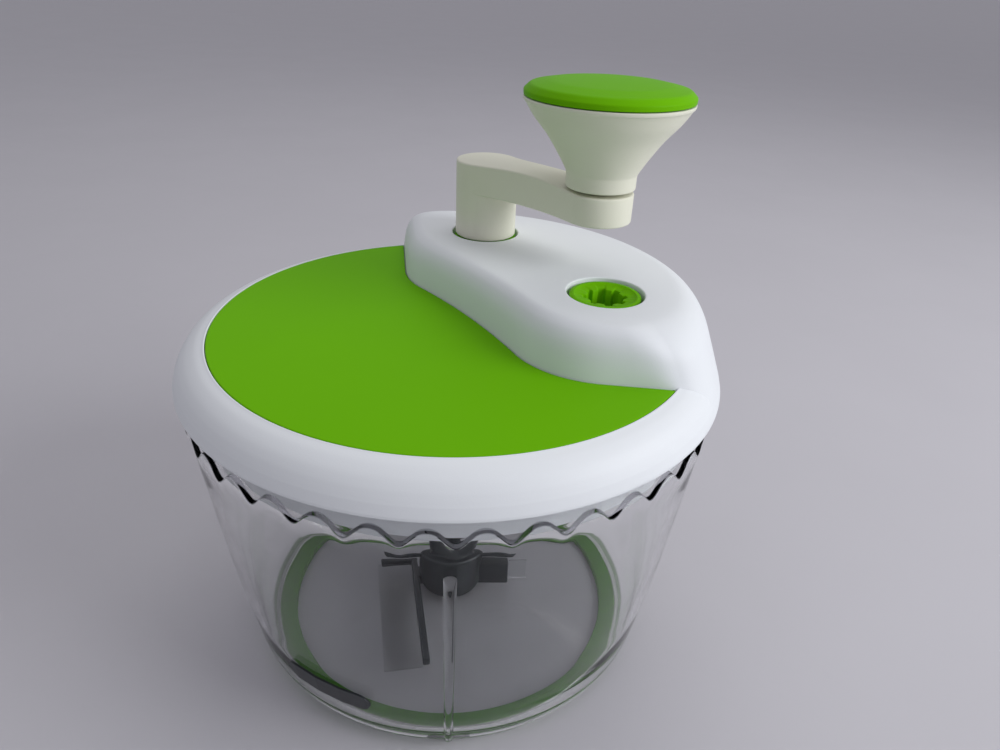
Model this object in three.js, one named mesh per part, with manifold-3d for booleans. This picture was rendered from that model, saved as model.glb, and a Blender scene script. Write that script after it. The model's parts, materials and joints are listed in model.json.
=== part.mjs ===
// Hand-cranked food chopper: clear bowl, geared lid, crank and mixing rotor. Millimetres, +Z up.
// The origin is the centre of the base, on the surface that the bowl stands on.

import * as THREE from 'three';
import { mergeVertices } from 'three/addons/utils/BufferGeometryUtils.js';
import Module from 'manifold-3d';

const wasm = await Module();
wasm.setup();

// ---------------------------------------------------------------- driving sizes

const clearance = {
  seat: 0.3, running: 0.3, spline: 0.4, rim: 0.8, skirt: 0.7, hubInHole: 1.2, socketInHole: 1,
  spigotEnd: 1.5, pinEnd: 3, gearInSkirt: 5.471,
};
const overlap = 0.5;                        // how far two joined shapes reach into each other

const ring = { width: 6.8, height: 2.4 };
const bowl = {
  wall: 2.6, floor: 2.6, footRadius: 70.6, footWall: 1.6, footLift: 0.8,
  rimOuter: 86.9, rimHeight: 112.4, ledgeReach: 1.5, ledgeDrop: 9.8, neckInset: 0.8, neckDrop: 5.6,
  bossRadius: 5, bossHeight: 3,
};
// The wall swells quickly above the foot and then runs up almost straight. Each knot is its share of the
// way out and its share of the way up from the foot to the neck.
const bowlCurve = [
  [0.1176, 0.0333], [0.2941, 0.1008], [0.4, 0.1996], [0.5706, 0.3763], [0.7235, 0.5842], [0.8824, 0.8233],
  [1, 1],
];
const pivot = { radius: 2.5, length: 14, seatDepth: 3 };

const lid = {
  skirtDrop: 3, skirtWall: 2.6, skirtLean: 1, shoulderHeight: 8.1, shoulderWidth: 9.9, crownRise: 3.6,
  topWall: 2.2, innerSkirtWall: 2.4, grooveChamfer: 1,
};
// The shoulder's round: each knot's share of the width, from outside, and of the height, from the top.
const shoulderCurve = [[0.101, 0.79], [0.202, 0.593], [0.394, 0.333], [0.667, 0.111]];
const gasket = { height: 1.1 };
const leaf = { thickness: 1.4, headGrowth: 1.1, backAngle: 105.6, tipAngle: -34.5 };
// The swells are how far the lobes about both sockets reach past the crown's edge. On the rim's side the
// wall leans in from the top of the lid's skirt, by `lean` in degrees, and its foot stands on the shoulder.
const housing = {
  rise: 16, wall: 2.4, chamfer: 3, lean: 19.5, footRise: 4.5, driveSwell: 1.03, freeSwell: 2.89,
};
const gearPlate = { thickness: 2.4, bossWall: 2.7, bossDrop: 6, gearLift: 1, headRoom: 1.2 };
const screw = {
  count: 4, inset: 6.6, firstAngle: 30, radius: 1.5, headRadius: 3, headHeight: 1.8, bossRadius: 4.2,
};
const axle = { radius: 2.5, seatDepth: 1.6 };

// Addendum and dedendum are in modules.
const tooth = {
  addendum: 0.8667, dedendum: 1.2667, backlash: 0.3, pressureAngle: 20, width: 6, rowGap: 1.2,
};
const teeth = { drive: 32, idlerSmall: 14, idlerLarge: 24, free: 25, output: 14 };
// Bearings, in degrees, of the idler from the output and of both socket gears from the idler.
const bearing = { idler: 35.0, drive: 109.35, free: -46.6 };
const socket = { drop: 3, splineRadius: 6.6, splineRoot: 5.4, splineCount: 8 };
const outputShaft = { radius: 4, hexLength: 10, bushWall: 3.7, sealHeight: 2.2 };

const crank = {
  length: 50.6, direction: -44.8, hubRadius: 11.4, hubHeight: 30.1, waist: 8, thickness: 10.8,
  spigotLength: 14,
};
const knob = {
  collarRadius: 11.6, collarHeight: 4.4, rimRadius: 27, rimBand: 0.8, rimEase: 0.6, height: 27.6, wall: 3,
  recess: 8.1, pinRadius: 3, pinHead: 5, pinHeadHeight: 2.4, pinRivet: 1, washerRadius: 6.5,
  washerHeight: 1.5, plugDepth: 3,
};
const cap = { edge: 1.8, rise: 5.4 };
// The dome of the cap: each knot's share of the radius and of the rise.
const capCurve = [[0.93, 0.6333], [0.7, 0.85], [0.35, 0.98]];

const rotor = {
  hubRadius: 12.6, hubHeight: 19.4, tubeWall: 2.1, tubeTopGap: 1,
  railLength: 50, railWidth: 2.6, railHeight: 3.6, armHeight: 10, armReach: 23.5, armWidth: 6,
  frameWidth: 2.6, frameHeight: 4, frameGap: 1.6, frameLength: 53, frameBack: 10, frameTurn: 8,
  frameLift: 1,
};
const paddle = { thickness: 1.6, width: 13.5, length: 52, sideLength: 7.2, sideHeight: 9 };
const badge = { angle: -119.8, height: 24.5, length: 32, width: 7.6, thickness: 0.7 };

const fine = 56;                            // sides of a large round piece
const medium = 28;
const coarse = 14;

const colour = {
  clear: 0xe9eef0, white: 0xeef0f2, green: 0x6fb21c, ring: 0x5f8f3a, ivory: 0xf0ecdc, dark: 0x2c2f31,
  smoke: 0x8a8f90, steel: 0xb9bcc0, nylon: 0xe4e2d6, seal: 0xd9dcdc,
};

// ---------------------------------------------------------------- worked-out places

const polar = (radius, degrees) => {
  const angle = THREE.MathUtils.degToRad(degrees);
  return new THREE.Vector2(radius * Math.cos(angle), radius * Math.sin(angle));
};
const between = THREE.MathUtils.lerp;

const ringOuter = bowl.footRadius - bowl.footWall - clearance.seat;
const floorBottom = ring.height + clearance.seat;
const floorTop = floorBottom + bowl.floor;
const ledgeRadius = bowl.rimOuter + bowl.ledgeReach;
const ledgeHeight = bowl.rimHeight - bowl.ledgeDrop;
const neckRadius = ledgeRadius - bowl.neckInset;
const neckHeight = ledgeHeight - bowl.neckDrop;
const wallKnots = bowlCurve.map(([out, up]) => [
  between(bowl.footRadius, neckRadius, out), between(bowl.footLift, neckHeight, up),
]);

const lidRadius = bowl.rimOuter + clearance.skirt + lid.skirtWall;
const shoulderRadius = lidRadius - lid.skirtLean;
const crownRadius = shoulderRadius - lid.shoulderWidth;
const skirtBottom = bowl.rimHeight - lid.skirtDrop;
const grooveTop = bowl.rimHeight + gasket.height + 2 * clearance.seat;
const lidCeiling = grooveTop + lid.crownRise;
const recessFloor = lidCeiling + lid.topWall;
const lidTop = recessFloor + clearance.seat + leaf.thickness;
const shoulderBottom = lidTop - lid.shoulderHeight;
const innerSkirtOuter = bowl.rimOuter - bowl.wall - clearance.rim;
const innerSkirtInner = innerSkirtOuter - lid.innerSkirtWall;

const upperRow = lidCeiling - gearPlate.headRoom - tooth.width;
const lowerRow = upperRow - tooth.rowGap - tooth.width;
const plateTop = lowerRow - gearPlate.gearLift;
const plateBottom = plateTop - gearPlate.thickness;
const plateRadius = innerSkirtInner - clearance.seat;
const shaftBottom = plateBottom - gearPlate.bossDrop;
const bushRadius = outputShaft.radius + clearance.running + outputShaft.bushWall;
const hexRadius = outputShaft.radius;

const housingTop = lidTop + housing.rise;
const socketTop = housingTop - socket.drop;
const socketDepth = crank.spigotLength + clearance.spigotEnd;
const holeRadius = crank.hubRadius + clearance.hubInHole;
const socketHubRadius = holeRadius - clearance.socketInHole;
const crankHubBottom = socketTop + clearance.seat;
const crankTop = crankHubBottom + crank.hubHeight;
const crankBottom = crankTop - crank.thickness;
const knobBottom = crankTop + clearance.seat;
const knobTop = knobBottom + knob.height;
const knobFloor = knobTop - knob.recess;

const rotorBottom = floorTop + clearance.seat;
const rotorHubTop = rotorBottom + rotor.hubHeight;
const rotorTop = shaftBottom - rotor.tubeTopGap;
const pivotBottom = floorTop + bowl.bossHeight - pivot.seatDepth + clearance.seat;
const pivotTop = pivotBottom + pivot.length;

// The gear train is laid out in modules. The module is as large as the inner skirt leaves room for.
const gearDistance = (first, second) => (first + second) / 2;
const idlerPlace = polar(gearDistance(teeth.idlerLarge, teeth.output), bearing.idler);
const drivePlace = idlerPlace.clone().add(polar(gearDistance(teeth.drive, teeth.idlerSmall), bearing.drive));
const freePlace = idlerPlace.clone().add(polar(gearDistance(teeth.free, teeth.idlerLarge), bearing.free));
const trainReach = tooth.addendum
  + Math.max(drivePlace.length() + teeth.drive / 2, freePlace.length() + teeth.free / 2);
const gearModule = (innerSkirtInner - clearance.gearInSkirt) / trainReach;

const outputAxis = new THREE.Vector2(0, 0);
const idlerAxis = idlerPlace.clone().multiplyScalar(gearModule);
const driveAxis = drivePlace.clone().multiplyScalar(gearModule);
const freeAxis = freePlace.clone().multiplyScalar(gearModule);
const knobAxis = driveAxis.clone().add(polar(crank.length, crank.direction));

const leafHead = crownRadius + leaf.headGrowth;
const driveLobe = crownRadius - driveAxis.length() + housing.driveSwell;
const freeLobe = crownRadius - freeAxis.length() + housing.freeSwell;

// ---------------------------------------------------------------- solids

function solidOf(geometry) {
  geometry.deleteAttribute('normal');
  geometry.deleteAttribute('uv');
  const merged = mergeVertices(geometry, 1e-4);
  const corners = merged.index.array;
  const kept = [];
  for (let i = 0; i < corners.length; i += 3) {
    const [a, b, c] = [corners[i], corners[i + 1], corners[i + 2]];
    if (a !== b && b !== c && c !== a) kept.push(a, b, c);
  }
  return new wasm.Manifold(new wasm.Mesh({
    numProp: 3, vertProperties: merged.attributes.position.array, triVerts: new Uint32Array(kept),
  }));
}

// A closed profile of [radius, height] points, turned about the Z axis.
function turned(profile, sides = medium) {
  const points = profile.map(([radius, height]) => new THREE.Vector2(radius, height));
  if (THREE.ShapeUtils.area(points) < 0) points.reverse();
  const geometry = new THREE.LatheGeometry([...points, points[0]], sides);
  return solidOf(geometry.rotateX(Math.PI / 2));
}

function cylinder(radius, bottom, top, sides = medium) {
  return turned([[0, bottom], [radius, bottom], [radius, top], [0, top]], sides);
}

function tube(inner, outer, bottom, top, sides = medium) {
  return turned([[inner, bottom], [outer, bottom], [outer, top], [inner, top]], sides);
}

function extruded(shape, bottom, top, arcSteps = 7) {
  const geometry = new THREE.ExtrudeGeometry(
    shape, { depth: top - bottom, bevelEnabled: false, curveSegments: arcSteps });
  return solidOf(geometry.translate(0, 0, bottom));
}

function block(width, depth, height, x, y, bottom) {
  return solidOf(new THREE.BoxGeometry(width, depth, height).translate(x, y, bottom + height / 2));
}

const at = (solid, axis) => solid.translate([axis.x, axis.y, 0]);

function piece(name, solid, color, roughness, metalness = 0) {
  const mesh = solid.getMesh();
  const geometry = new THREE.BufferGeometry();
  geometry.setAttribute('position', new THREE.BufferAttribute(mesh.vertProperties, 3));
  geometry.setIndex(new THREE.BufferAttribute(mesh.triVerts, 1));
  geometry.computeVertexNormals();
  const material = new THREE.MeshStandardMaterial({ color, roughness, metalness });
  const part = new THREE.Mesh(geometry, material);
  part.name = name;
  return part;
}

// ---------------------------------------------------------------- outlines

// The tangent from an outer point to a circle touches it at this angle; side is +1 or -1.
function tangentAngle(point, centre, radius, side) {
  const away = point.clone().sub(centre);
  return away.angle() + side * Math.acos(radius / away.length());
}

// Where a line from `start` along `direction` leaves a circle about the lid's axis.
function leavesCircle(start, direction, radius) {
  const along = start.dot(direction);
  const step = -along + Math.sqrt(along * along - start.lengthSq() + radius * radius);
  return start.clone().addScaledVector(direction, step);
}

// Centre of the leaf's round head, which touches both lobes of the housing from outside.
function leafHeadCentre() {
  const span = freeAxis.clone().sub(driveAxis);
  const toDrive = leafHead + driveLobe;
  const toFree = leafHead + freeLobe;
  const along = (toDrive ** 2 - toFree ** 2 + span.lengthSq()) / (2 * span.length());
  const across = Math.sqrt(toDrive ** 2 - along ** 2);
  const unit = span.clone().normalize();
  const left = new THREE.Vector2(unit.y, -unit.x);
  return driveAxis.clone().addScaledVector(unit, along).addScaledVector(left, across);
}

// The S-shaped edge between leaf and housing, moved into the housing by `inset`: a straight start at the
// back of the rim, the lobe about the drive socket, the leaf's head, the lobe about the free socket, and a
// straight run to the leaf's tip. It ends on a circle of `rimRadius`.
function edgeCurve(path, inset, rimRadius) {
  const head = leafHeadCentre();
  const back = polar(crownRadius, leaf.backAngle);
  const tip = polar(crownRadius, leaf.tipAngle);
  const driveStart = tangentAngle(back, driveAxis, driveLobe, 1);
  const freeEnd = tangentAngle(tip, freeAxis, freeLobe, -1);
  const driveRadius = driveLobe - inset;
  const freeRadius = freeLobe - inset;
  const pointOn = (centre, radius, angle) => new THREE.Vector2(
    centre.x + radius * Math.cos(angle), centre.y + radius * Math.sin(angle));
  const backRun = new THREE.Vector2(Math.sin(driveStart), -Math.cos(driveStart));
  const tipRun = new THREE.Vector2(-Math.sin(freeEnd), Math.cos(freeEnd));
  const start = leavesCircle(pointOn(driveAxis, driveRadius, driveStart), backRun, rimRadius);
  const end = leavesCircle(pointOn(freeAxis, freeRadius, freeEnd), tipRun, rimRadius);
  const driveToHead = head.clone().sub(driveAxis).angle();
  const freeToHead = head.clone().sub(freeAxis).angle();
  path.moveTo(start.x, start.y);
  path.absarc(driveAxis.x, driveAxis.y, driveRadius, driveStart, driveToHead, false);
  path.absarc(head.x, head.y, leafHead + inset, driveToHead + Math.PI, freeToHead + Math.PI, true);
  path.absarc(freeAxis.x, freeAxis.y, freeRadius, freeToHead, freeEnd, false);
  path.lineTo(end.x, end.y);
  return { startAngle: start.angle(), endAngle: end.angle() };
}

// The housing's plan, run out past the rim. Its wall on that side is the envelope below.
function housingShape(inset) {
  const shape = new THREE.Shape();
  const { startAngle, endAngle } = edgeCurve(shape, inset, lidRadius);
  shape.absarc(0, 0, lidRadius, endAngle, startAngle, false);
  return shape;
}

function leafShape() {
  const shape = new THREE.Shape();
  const rimRadius = crownRadius - clearance.seat;
  const { startAngle, endAngle } = edgeCurve(shape, -clearance.seat, rimRadius);
  shape.absarc(0, 0, rimRadius, endAngle, startAngle, true);
  return shape;
}

// Involute teeth with straight roots. `phase` is the angle of one tooth's middle.
function gearShape(count, phase) {
  const pitchRadius = count * gearModule / 2;
  const pressure = THREE.MathUtils.degToRad(tooth.pressureAngle);
  const baseRadius = pitchRadius * Math.cos(pressure);
  const rootRadius = pitchRadius - tooth.dedendum * gearModule;
  const tipRadius = pitchRadius + tooth.addendum * gearModule;
  const flankStart = Math.max(baseRadius, rootRadius);
  const involute = (angle) => Math.tan(angle) - angle;
  const halfWidth = (radius) => Math.PI / (2 * count) - tooth.backlash / (2 * pitchRadius)
    + involute(pressure) - involute(Math.acos(Math.min(1, baseRadius / radius)));
  const flank = [rootRadius, flankStart, pitchRadius, tipRadius];
  const shape = new THREE.Shape();
  for (let i = 0; i < count; i += 1) {
    const middle = phase + 2 * Math.PI * i / count;
    const rising = flank.map((radius) => [radius, middle - halfWidth(Math.max(radius, flankStart))]);
    const falling = flank.map((radius) => [radius, middle + halfWidth(Math.max(radius, flankStart))]);
    for (const [radius, angle] of [...rising, ...falling.reverse()]) {
      const [x, y] = [radius * Math.cos(angle), radius * Math.sin(angle)];
      if (i === 0 && radius === rootRadius && angle < middle) shape.moveTo(x, y);
      else shape.lineTo(x, y);
    }
  }
  return shape;
}

// Phase of a gear that puts its tooth gap on a tooth of the gear it meshes with.
function meshPhase(axis, count, phase, otherAxis, otherCount) {
  const toOther = otherAxis.clone().sub(axis).angle();
  const teethTo = (toOther - phase) * count / (2 * Math.PI);
  return toOther + Math.PI - (2 * Math.PI / otherCount) * (0.5 - teethTo);
}

// Square-sided splines, grown by `grow` all round for the socket that takes them.
function splineShape(grow) {
  const shape = new THREE.Shape();
  const step = Math.PI / socket.splineCount;
  const tip = socket.splineRadius + grow;
  const root = socket.splineRoot + grow;
  const half = step / 2 + grow / (2 * root);
  for (let i = 0; i < socket.splineCount; i += 1) {
    const middle = 2 * step * i;
    const corners = [[root, -half], [tip, -half], [tip, half], [root, half]];
    corners.forEach(([radius, turn], corner) => {
      const [x, y] = [radius * Math.cos(middle + turn), radius * Math.sin(middle + turn)];
      if (i === 0 && corner === 0) shape.moveTo(x, y);
      else shape.lineTo(x, y);
    });
  }
  return shape;
}

// Crank plan: round hub and boss joined by hollow flanks that touch both circles.
function armShape() {
  const shape = new THREE.Shape();
  const half = crank.length / 2;
  const round = crank.hubRadius;
  const hollow = (half ** 2 + crank.waist ** 2 - round ** 2) / (2 * (round - crank.waist));
  const lean = Math.atan2(crank.waist + hollow, half);
  shape.absarc(0, 0, round, lean, -lean, false);
  shape.absarc(half, -crank.waist - hollow, hollow, Math.PI - lean, lean, true);
  shape.absarc(crank.length, 0, round, lean - Math.PI, Math.PI - lean, false);
  shape.absarc(half, crank.waist + hollow, hollow, -lean, lean - Math.PI, true);
  return shape;
}

// ---------------------------------------------------------------- bowl and base

function bowlProfile() {
  const inner = wallKnots.map(([radius, height]) => [radius - bowl.wall, height])
    .filter(([, height]) => height > floorTop + bowl.wall);
  const rimInner = bowl.rimOuter - bowl.wall;
  const footInner = bowl.footRadius - bowl.footWall;
  const pivotSeat = pivot.radius + clearance.seat;
  const seatBottom = pivotBottom - clearance.seat;
  return [
    [0, floorBottom], [footInner, floorBottom], [footInner, bowl.footLift], [bowl.footRadius, bowl.footLift],
    ...wallKnots, [ledgeRadius, ledgeHeight], [bowl.rimOuter, ledgeHeight],
    [bowl.rimOuter, bowl.rimHeight], [rimInner, bowl.rimHeight], [rimInner, ledgeHeight],
    ...inner.reverse(), [inner.at(-1)[0] - bowl.wall, floorTop + bowl.wall / 2],
    [inner.at(-1)[0] - 3 * bowl.wall, floorTop],
    [bowl.bossRadius, floorTop], [bowl.bossRadius, floorTop + bowl.bossHeight],
    [pivotSeat, floorTop + bowl.bossHeight], [pivotSeat, seatBottom], [0, seatBottom],
  ];
}

function makeBowl() {
  return piece('bowl', turned(bowlProfile(), fine), colour.clear, 0.05);
}

function makeRing() {
  const solid = tube(ringOuter - ring.width, ringOuter, 0, ring.height, fine);
  return piece('anti_slip_ring', solid, colour.ring, 0.8);
}

function makePivotPin() {
  const solid = cylinder(pivot.radius, pivotBottom, pivotTop, coarse);
  return piece('pivot_pin', solid, colour.steel, 0.3, 1);
}

// A thin lozenge that follows the wall.
function makeBadge() {
  const outwards = (grow) => wallKnots.map(([radius, height]) => [radius + grow, height]);
  const inner = outwards(clearance.seat);
  const outer = outwards(clearance.seat + badge.thickness);
  const skin = turned([...inner, ...outer.reverse()], fine);
  const lozenge = new THREE.Shape();
  const straight = (badge.length - badge.width) / 2;
  lozenge.absarc(straight, 0, badge.width / 2, -Math.PI / 2, Math.PI / 2, false);
  lozenge.absarc(-straight, 0, badge.width / 2, Math.PI / 2, 3 * Math.PI / 2, false);
  const cutter = extruded(lozenge, 0, ledgeRadius, 5).rotate([90, 0, 0]).translate([0, 0, badge.height])
    .rotate([0, 0, badge.angle + 90]);
  return piece('name_badge', skin.intersect(cutter), colour.dark, 0.4);
}

// ---------------------------------------------------------------- lid

// The shoulder from the skirt up to the crown's edge, grown outwards and upwards.
function shoulderProfile(grow) {
  const knots = [[0, 1], ...shoulderCurve, [1, 0]];
  return knots.map(([inwards, down]) => [
    shoulderRadius - lid.shoulderWidth * inwards + grow, lidTop - lid.shoulderHeight * down + grow,
  ]);
}

function lidProfile() {
  const grooveOuter = lidRadius - lid.skirtWall;
  const innerBottom = plateBottom - clearance.seat;
  return [
    [0, lidCeiling], [innerSkirtInner, lidCeiling], [innerSkirtInner, innerBottom],
    [innerSkirtOuter, innerBottom], [innerSkirtOuter, grooveTop],
    [grooveOuter - lid.grooveChamfer, grooveTop],
    [grooveOuter, grooveTop - lid.grooveChamfer], [grooveOuter, skirtBottom], [lidRadius, skirtBottom],
    ...shoulderProfile(0), [crownRadius, recessFloor], [0, recessFloor],
  ];
}

function eachScrew(make) {
  return Array.from({ length: screw.count }, (_, i) =>
    make(polar(innerSkirtInner - screw.inset, screw.firstAngle + 360 * i / screw.count), i));
}

function makeLidShell() {
  let shell = turned(lidProfile(), fine);
  for (const axis of [driveAxis, freeAxis]) {
    shell = shell.subtract(at(cylinder(holeRadius, lidCeiling - overlap, recessFloor + overlap), axis));
  }
  eachScrew((place) => {
    const boss = cylinder(screw.bossRadius, plateTop + clearance.seat, lidCeiling + overlap, coarse);
    const hole = cylinder(screw.radius + clearance.seat, plateTop, lidCeiling - clearance.seat, coarse);
    shell = shell.add(at(boss, place)).subtract(at(hole, place));
  });
  return piece('lid_shell', shell, colour.white, 0.3);
}

// The leaning wall on the rim's side, with its top chamfer, moved inwards.
function housingEnvelope(inwards, top) {
  const slope = Math.tan(THREE.MathUtils.degToRad(housing.lean));
  const radiusAt = (height) => shoulderRadius - inwards - slope * (height - shoulderBottom);
  const chamferBottom = top - housing.chamfer;
  return turned([
    [0, shoulderBottom], [radiusAt(shoulderBottom), shoulderBottom],
    [radiusAt(chamferBottom), chamferBottom], [radiusAt(chamferBottom) - housing.chamfer, top], [0, top],
  ], fine);
}

// The S-shaped cover over both sockets. It stands on the lid's plate and on the shoulder.
function makeGearHousing() {
  const straightTop = housingTop - housing.chamfer;
  const bevelled = new THREE.ExtrudeGeometry(housingShape(0), {
    depth: housing.chamfer, bevelEnabled: true, bevelThickness: housing.chamfer, bevelSize: housing.chamfer,
    bevelOffset: -housing.chamfer, bevelSegments: 1, curveSegments: 7,
  });
  const cavityTop = housingTop - housing.wall;
  const cavity = extruded(housingShape(housing.wall), shoulderBottom, cavityTop)
    .intersect(housingEnvelope(housing.wall, cavityTop));
  const lidRoom = turned([
    [0, shoulderBottom], ...shoulderProfile(clearance.seat),
    [crownRadius - clearance.seat, lidTop + clearance.seat],
    [crownRadius - clearance.seat, recessFloor + clearance.seat], [0, recessFloor + clearance.seat],
  ], fine);
  let solid = extruded(housingShape(0), shoulderBottom + housing.footRise, straightTop)
    .add(solidOf(bevelled.translate(0, 0, straightTop - housing.chamfer)))
    .intersect(housingEnvelope(0, housingTop))
    .subtract(cavity)
    .subtract(lidRoom);
  for (const axis of [driveAxis, freeAxis]) {
    solid = solid.subtract(at(cylinder(holeRadius, recessFloor, housingTop + overlap), axis));
  }
  return piece('gear_housing', solid, colour.white, 0.3);
}

function makeLeaf() {
  const panel = extruded(leafShape(), lidTop - leaf.thickness, lidTop, 12);
  return piece('leaf_panel', panel, colour.green, 0.35);
}

function makeGasket() {
  const inner = innerSkirtOuter + clearance.seat;
  const outer = lidRadius - lid.skirtWall - lid.grooveChamfer - clearance.seat;
  const bottom = bowl.rimHeight + clearance.seat;
  return piece('lid_gasket', tube(inner, outer, bottom, bottom + gasket.height, fine), colour.seal, 0.7);
}

function makeGearPlate() {
  const bushRoom = bushRadius + clearance.seat;
  let plate = cylinder(plateRadius, plateBottom, plateTop, fine)
    .add(cylinder(bushRoom + gearPlate.bossWall, shaftBottom, plateTop))
    .subtract(cylinder(bushRoom, shaftBottom - overlap, plateTop + overlap));
  eachScrew((place) => {
    const hole = cylinder(screw.radius + clearance.seat, plateBottom - overlap, plateTop + overlap, coarse);
    plate = plate.subtract(at(hole, place));
  });
  for (const axis of [driveAxis, idlerAxis, freeAxis]) {
    const seat = cylinder(
      axle.radius + clearance.seat, plateTop - axle.seatDepth, plateTop + overlap, coarse);
    plate = plate.subtract(at(seat, axis));
  }
  return piece('gear_plate', plate, colour.white, 0.4);
}

function makeScrews() {
  return eachScrew((place, i) => {
    const headTop = plateBottom - clearance.seat;
    const profile = [
      [0, headTop - screw.headHeight], [screw.headRadius, headTop - screw.headHeight],
      [screw.headRadius, headTop], [screw.radius, headTop],
      [screw.radius, lidCeiling - 2 * clearance.seat], [0, lidCeiling - 2 * clearance.seat],
    ];
    return piece(`plate_screw_${i + 1}`, at(turned(profile, coarse), place), colour.steel, 0.35, 1);
  });
}

function makeBush() {
  const bottom = shaftBottom + outputShaft.sealHeight + clearance.seat;
  const solid = tube(outputShaft.radius + clearance.running, bushRadius, bottom, plateTop);
  return piece('output_bush', solid, colour.nylon, 0.5);
}

function makeSeal() {
  const top = shaftBottom + outputShaft.sealHeight;
  const solid = tube(outputShaft.radius + clearance.running, bushRadius, shaftBottom, top);
  return piece('shaft_seal', solid, colour.seal, 0.8);
}

// ---------------------------------------------------------------- gears

const axleTop = upperRow + tooth.width - clearance.seat;

function makeAxle(name, axis, top) {
  const bottom = plateTop - axle.seatDepth + clearance.seat;
  return piece(name, at(cylinder(axle.radius, bottom, top, coarse), axis), colour.steel, 0.3, 1);
}

const drivePhase = 0;
const idlerSmallPhase = meshPhase(driveAxis, teeth.drive, drivePhase, idlerAxis, teeth.idlerSmall);
const idlerLargePhase = 0;
const freePhase = meshPhase(idlerAxis, teeth.idlerLarge, idlerLargePhase, freeAxis, teeth.free);
const outputPhase = meshPhase(idlerAxis, teeth.idlerLarge, idlerLargePhase, outputAxis, teeth.output);

// A gear with a tall hub whose splined socket opens through the lid.
function socketGear(count, phase, row) {
  const axleRoom = axle.radius + clearance.running;
  return extruded(gearShape(count, phase), row, row + tooth.width)
    .add(cylinder(socketHubRadius, lowerRow, socketTop))
    .subtract(extruded(splineShape(clearance.spline), socketTop - socketDepth, socketTop + overlap))
    .subtract(cylinder(axleRoom, lowerRow - overlap, axleTop + clearance.seat, coarse));
}

function makeDriveGear() {
  const solid = at(socketGear(teeth.drive, drivePhase, upperRow), driveAxis);
  return piece('drive_gear', solid, colour.green, 0.4);
}

function makeFreeGear() {
  const solid = at(socketGear(teeth.free, freePhase, lowerRow), freeAxis);
  return piece('free_gear', solid, colour.green, 0.4);
}

function makeIdler() {
  const rowTop = upperRow + tooth.width;
  const solid = extruded(gearShape(teeth.idlerLarge, idlerLargePhase), lowerRow, lowerRow + tooth.width)
    .add(extruded(gearShape(teeth.idlerSmall, idlerSmallPhase), lowerRow + tooth.width - overlap, rowTop))
    .subtract(cylinder(axle.radius + clearance.running, lowerRow - overlap, rowTop + overlap, coarse));
  return piece('idler_gear', at(solid, idlerAxis), colour.nylon, 0.5);
}

function makeOutputGear() {
  const solid = extruded(gearShape(teeth.output, outputPhase), lowerRow, lowerRow + tooth.width)
    .subtract(cylinder(outputShaft.radius + clearance.seat, lowerRow - overlap, upperRow + tooth.width));
  return piece('output_gear', solid, colour.nylon, 0.5);
}

function hexagon(radius) {
  const corners = Array.from({ length: 6 }, (_, i) => polar(radius, 60 * i));
  return new THREE.Shape(corners);
}

function makeOutputShaft() {
  const solid = cylinder(outputShaft.radius, shaftBottom - clearance.seat, lidCeiling - clearance.running)
    .add(extruded(hexagon(hexRadius), rotorTop - outputShaft.hexLength, shaftBottom));
  return piece('output_shaft', solid, colour.steel, 0.3, 1);
}

// ---------------------------------------------------------------- crank and knob

function makeCrank() {
  const boss = knobAxis.clone().sub(driveAxis);
  const pinRoom = cylinder(knob.pinRadius + clearance.seat, crankBottom - overlap, crankTop + overlap);
  const headTop = crankBottom + knob.pinHeadHeight + 2 * clearance.seat;
  const headRoom = cylinder(knob.pinHead + clearance.seat, crankBottom - overlap, headTop);
  const solid = extruded(armShape(), crankBottom, crankTop).rotate([0, 0, crank.direction])
    .add(cylinder(crank.hubRadius, crankHubBottom, crankTop))
    .add(extruded(splineShape(0), crankHubBottom - crank.spigotLength, crankHubBottom + overlap))
    .subtract(at(pinRoom, boss))
    .subtract(at(headRoom, boss));
  return piece('crank_arm', at(solid, driveAxis), colour.ivory, 0.4);
}

function makeKnobPin() {
  const headBottom = crankBottom + clearance.seat;
  const headTop = headBottom + knob.pinHeadHeight;
  const shankTop = knobFloor + knob.washerHeight + 2 * clearance.seat;
  const profile = [
    [0, headBottom], [knob.pinHead, headBottom], [knob.pinHead, headTop], [knob.pinRadius, headTop],
    [knob.pinRadius, shankTop], [knob.pinHead, shankTop], [knob.pinHead, shankTop + knob.pinRivet],
    [0, shankTop + knob.pinRivet],
  ];
  return piece('knob_pin', at(turned(profile, coarse), knobAxis), colour.steel, 0.3, 1);
}

function makeKnobWasher() {
  const inner = knob.pinRadius + clearance.running;
  const bottom = knobFloor + clearance.seat;
  const solid = tube(inner, knob.washerRadius, bottom, bottom + knob.washerHeight, coarse);
  return piece('knob_washer', at(solid, knobAxis), colour.steel, 0.3, 1);
}

function makeKnobBody() {
  const bore = knob.pinRadius + clearance.running;
  const mouth = knob.rimRadius - knob.wall;
  const profile = [
    [bore, knobBottom], [knob.collarRadius, knobBottom], [knob.collarRadius, knobBottom + knob.collarHeight],
    [knob.rimRadius - knob.rimEase, knobTop - 2 * knob.rimBand], [knob.rimRadius, knobTop - knob.rimBand],
    [knob.rimRadius, knobTop], [mouth, knobTop], [mouth, knobTop - knob.plugDepth - 2 * clearance.seat],
    [knob.washerRadius + knob.wall, knobFloor], [bore, knobFloor],
  ];
  return piece('knob_body', at(turned(profile, medium), knobAxis), colour.ivory, 0.35);
}

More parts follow.
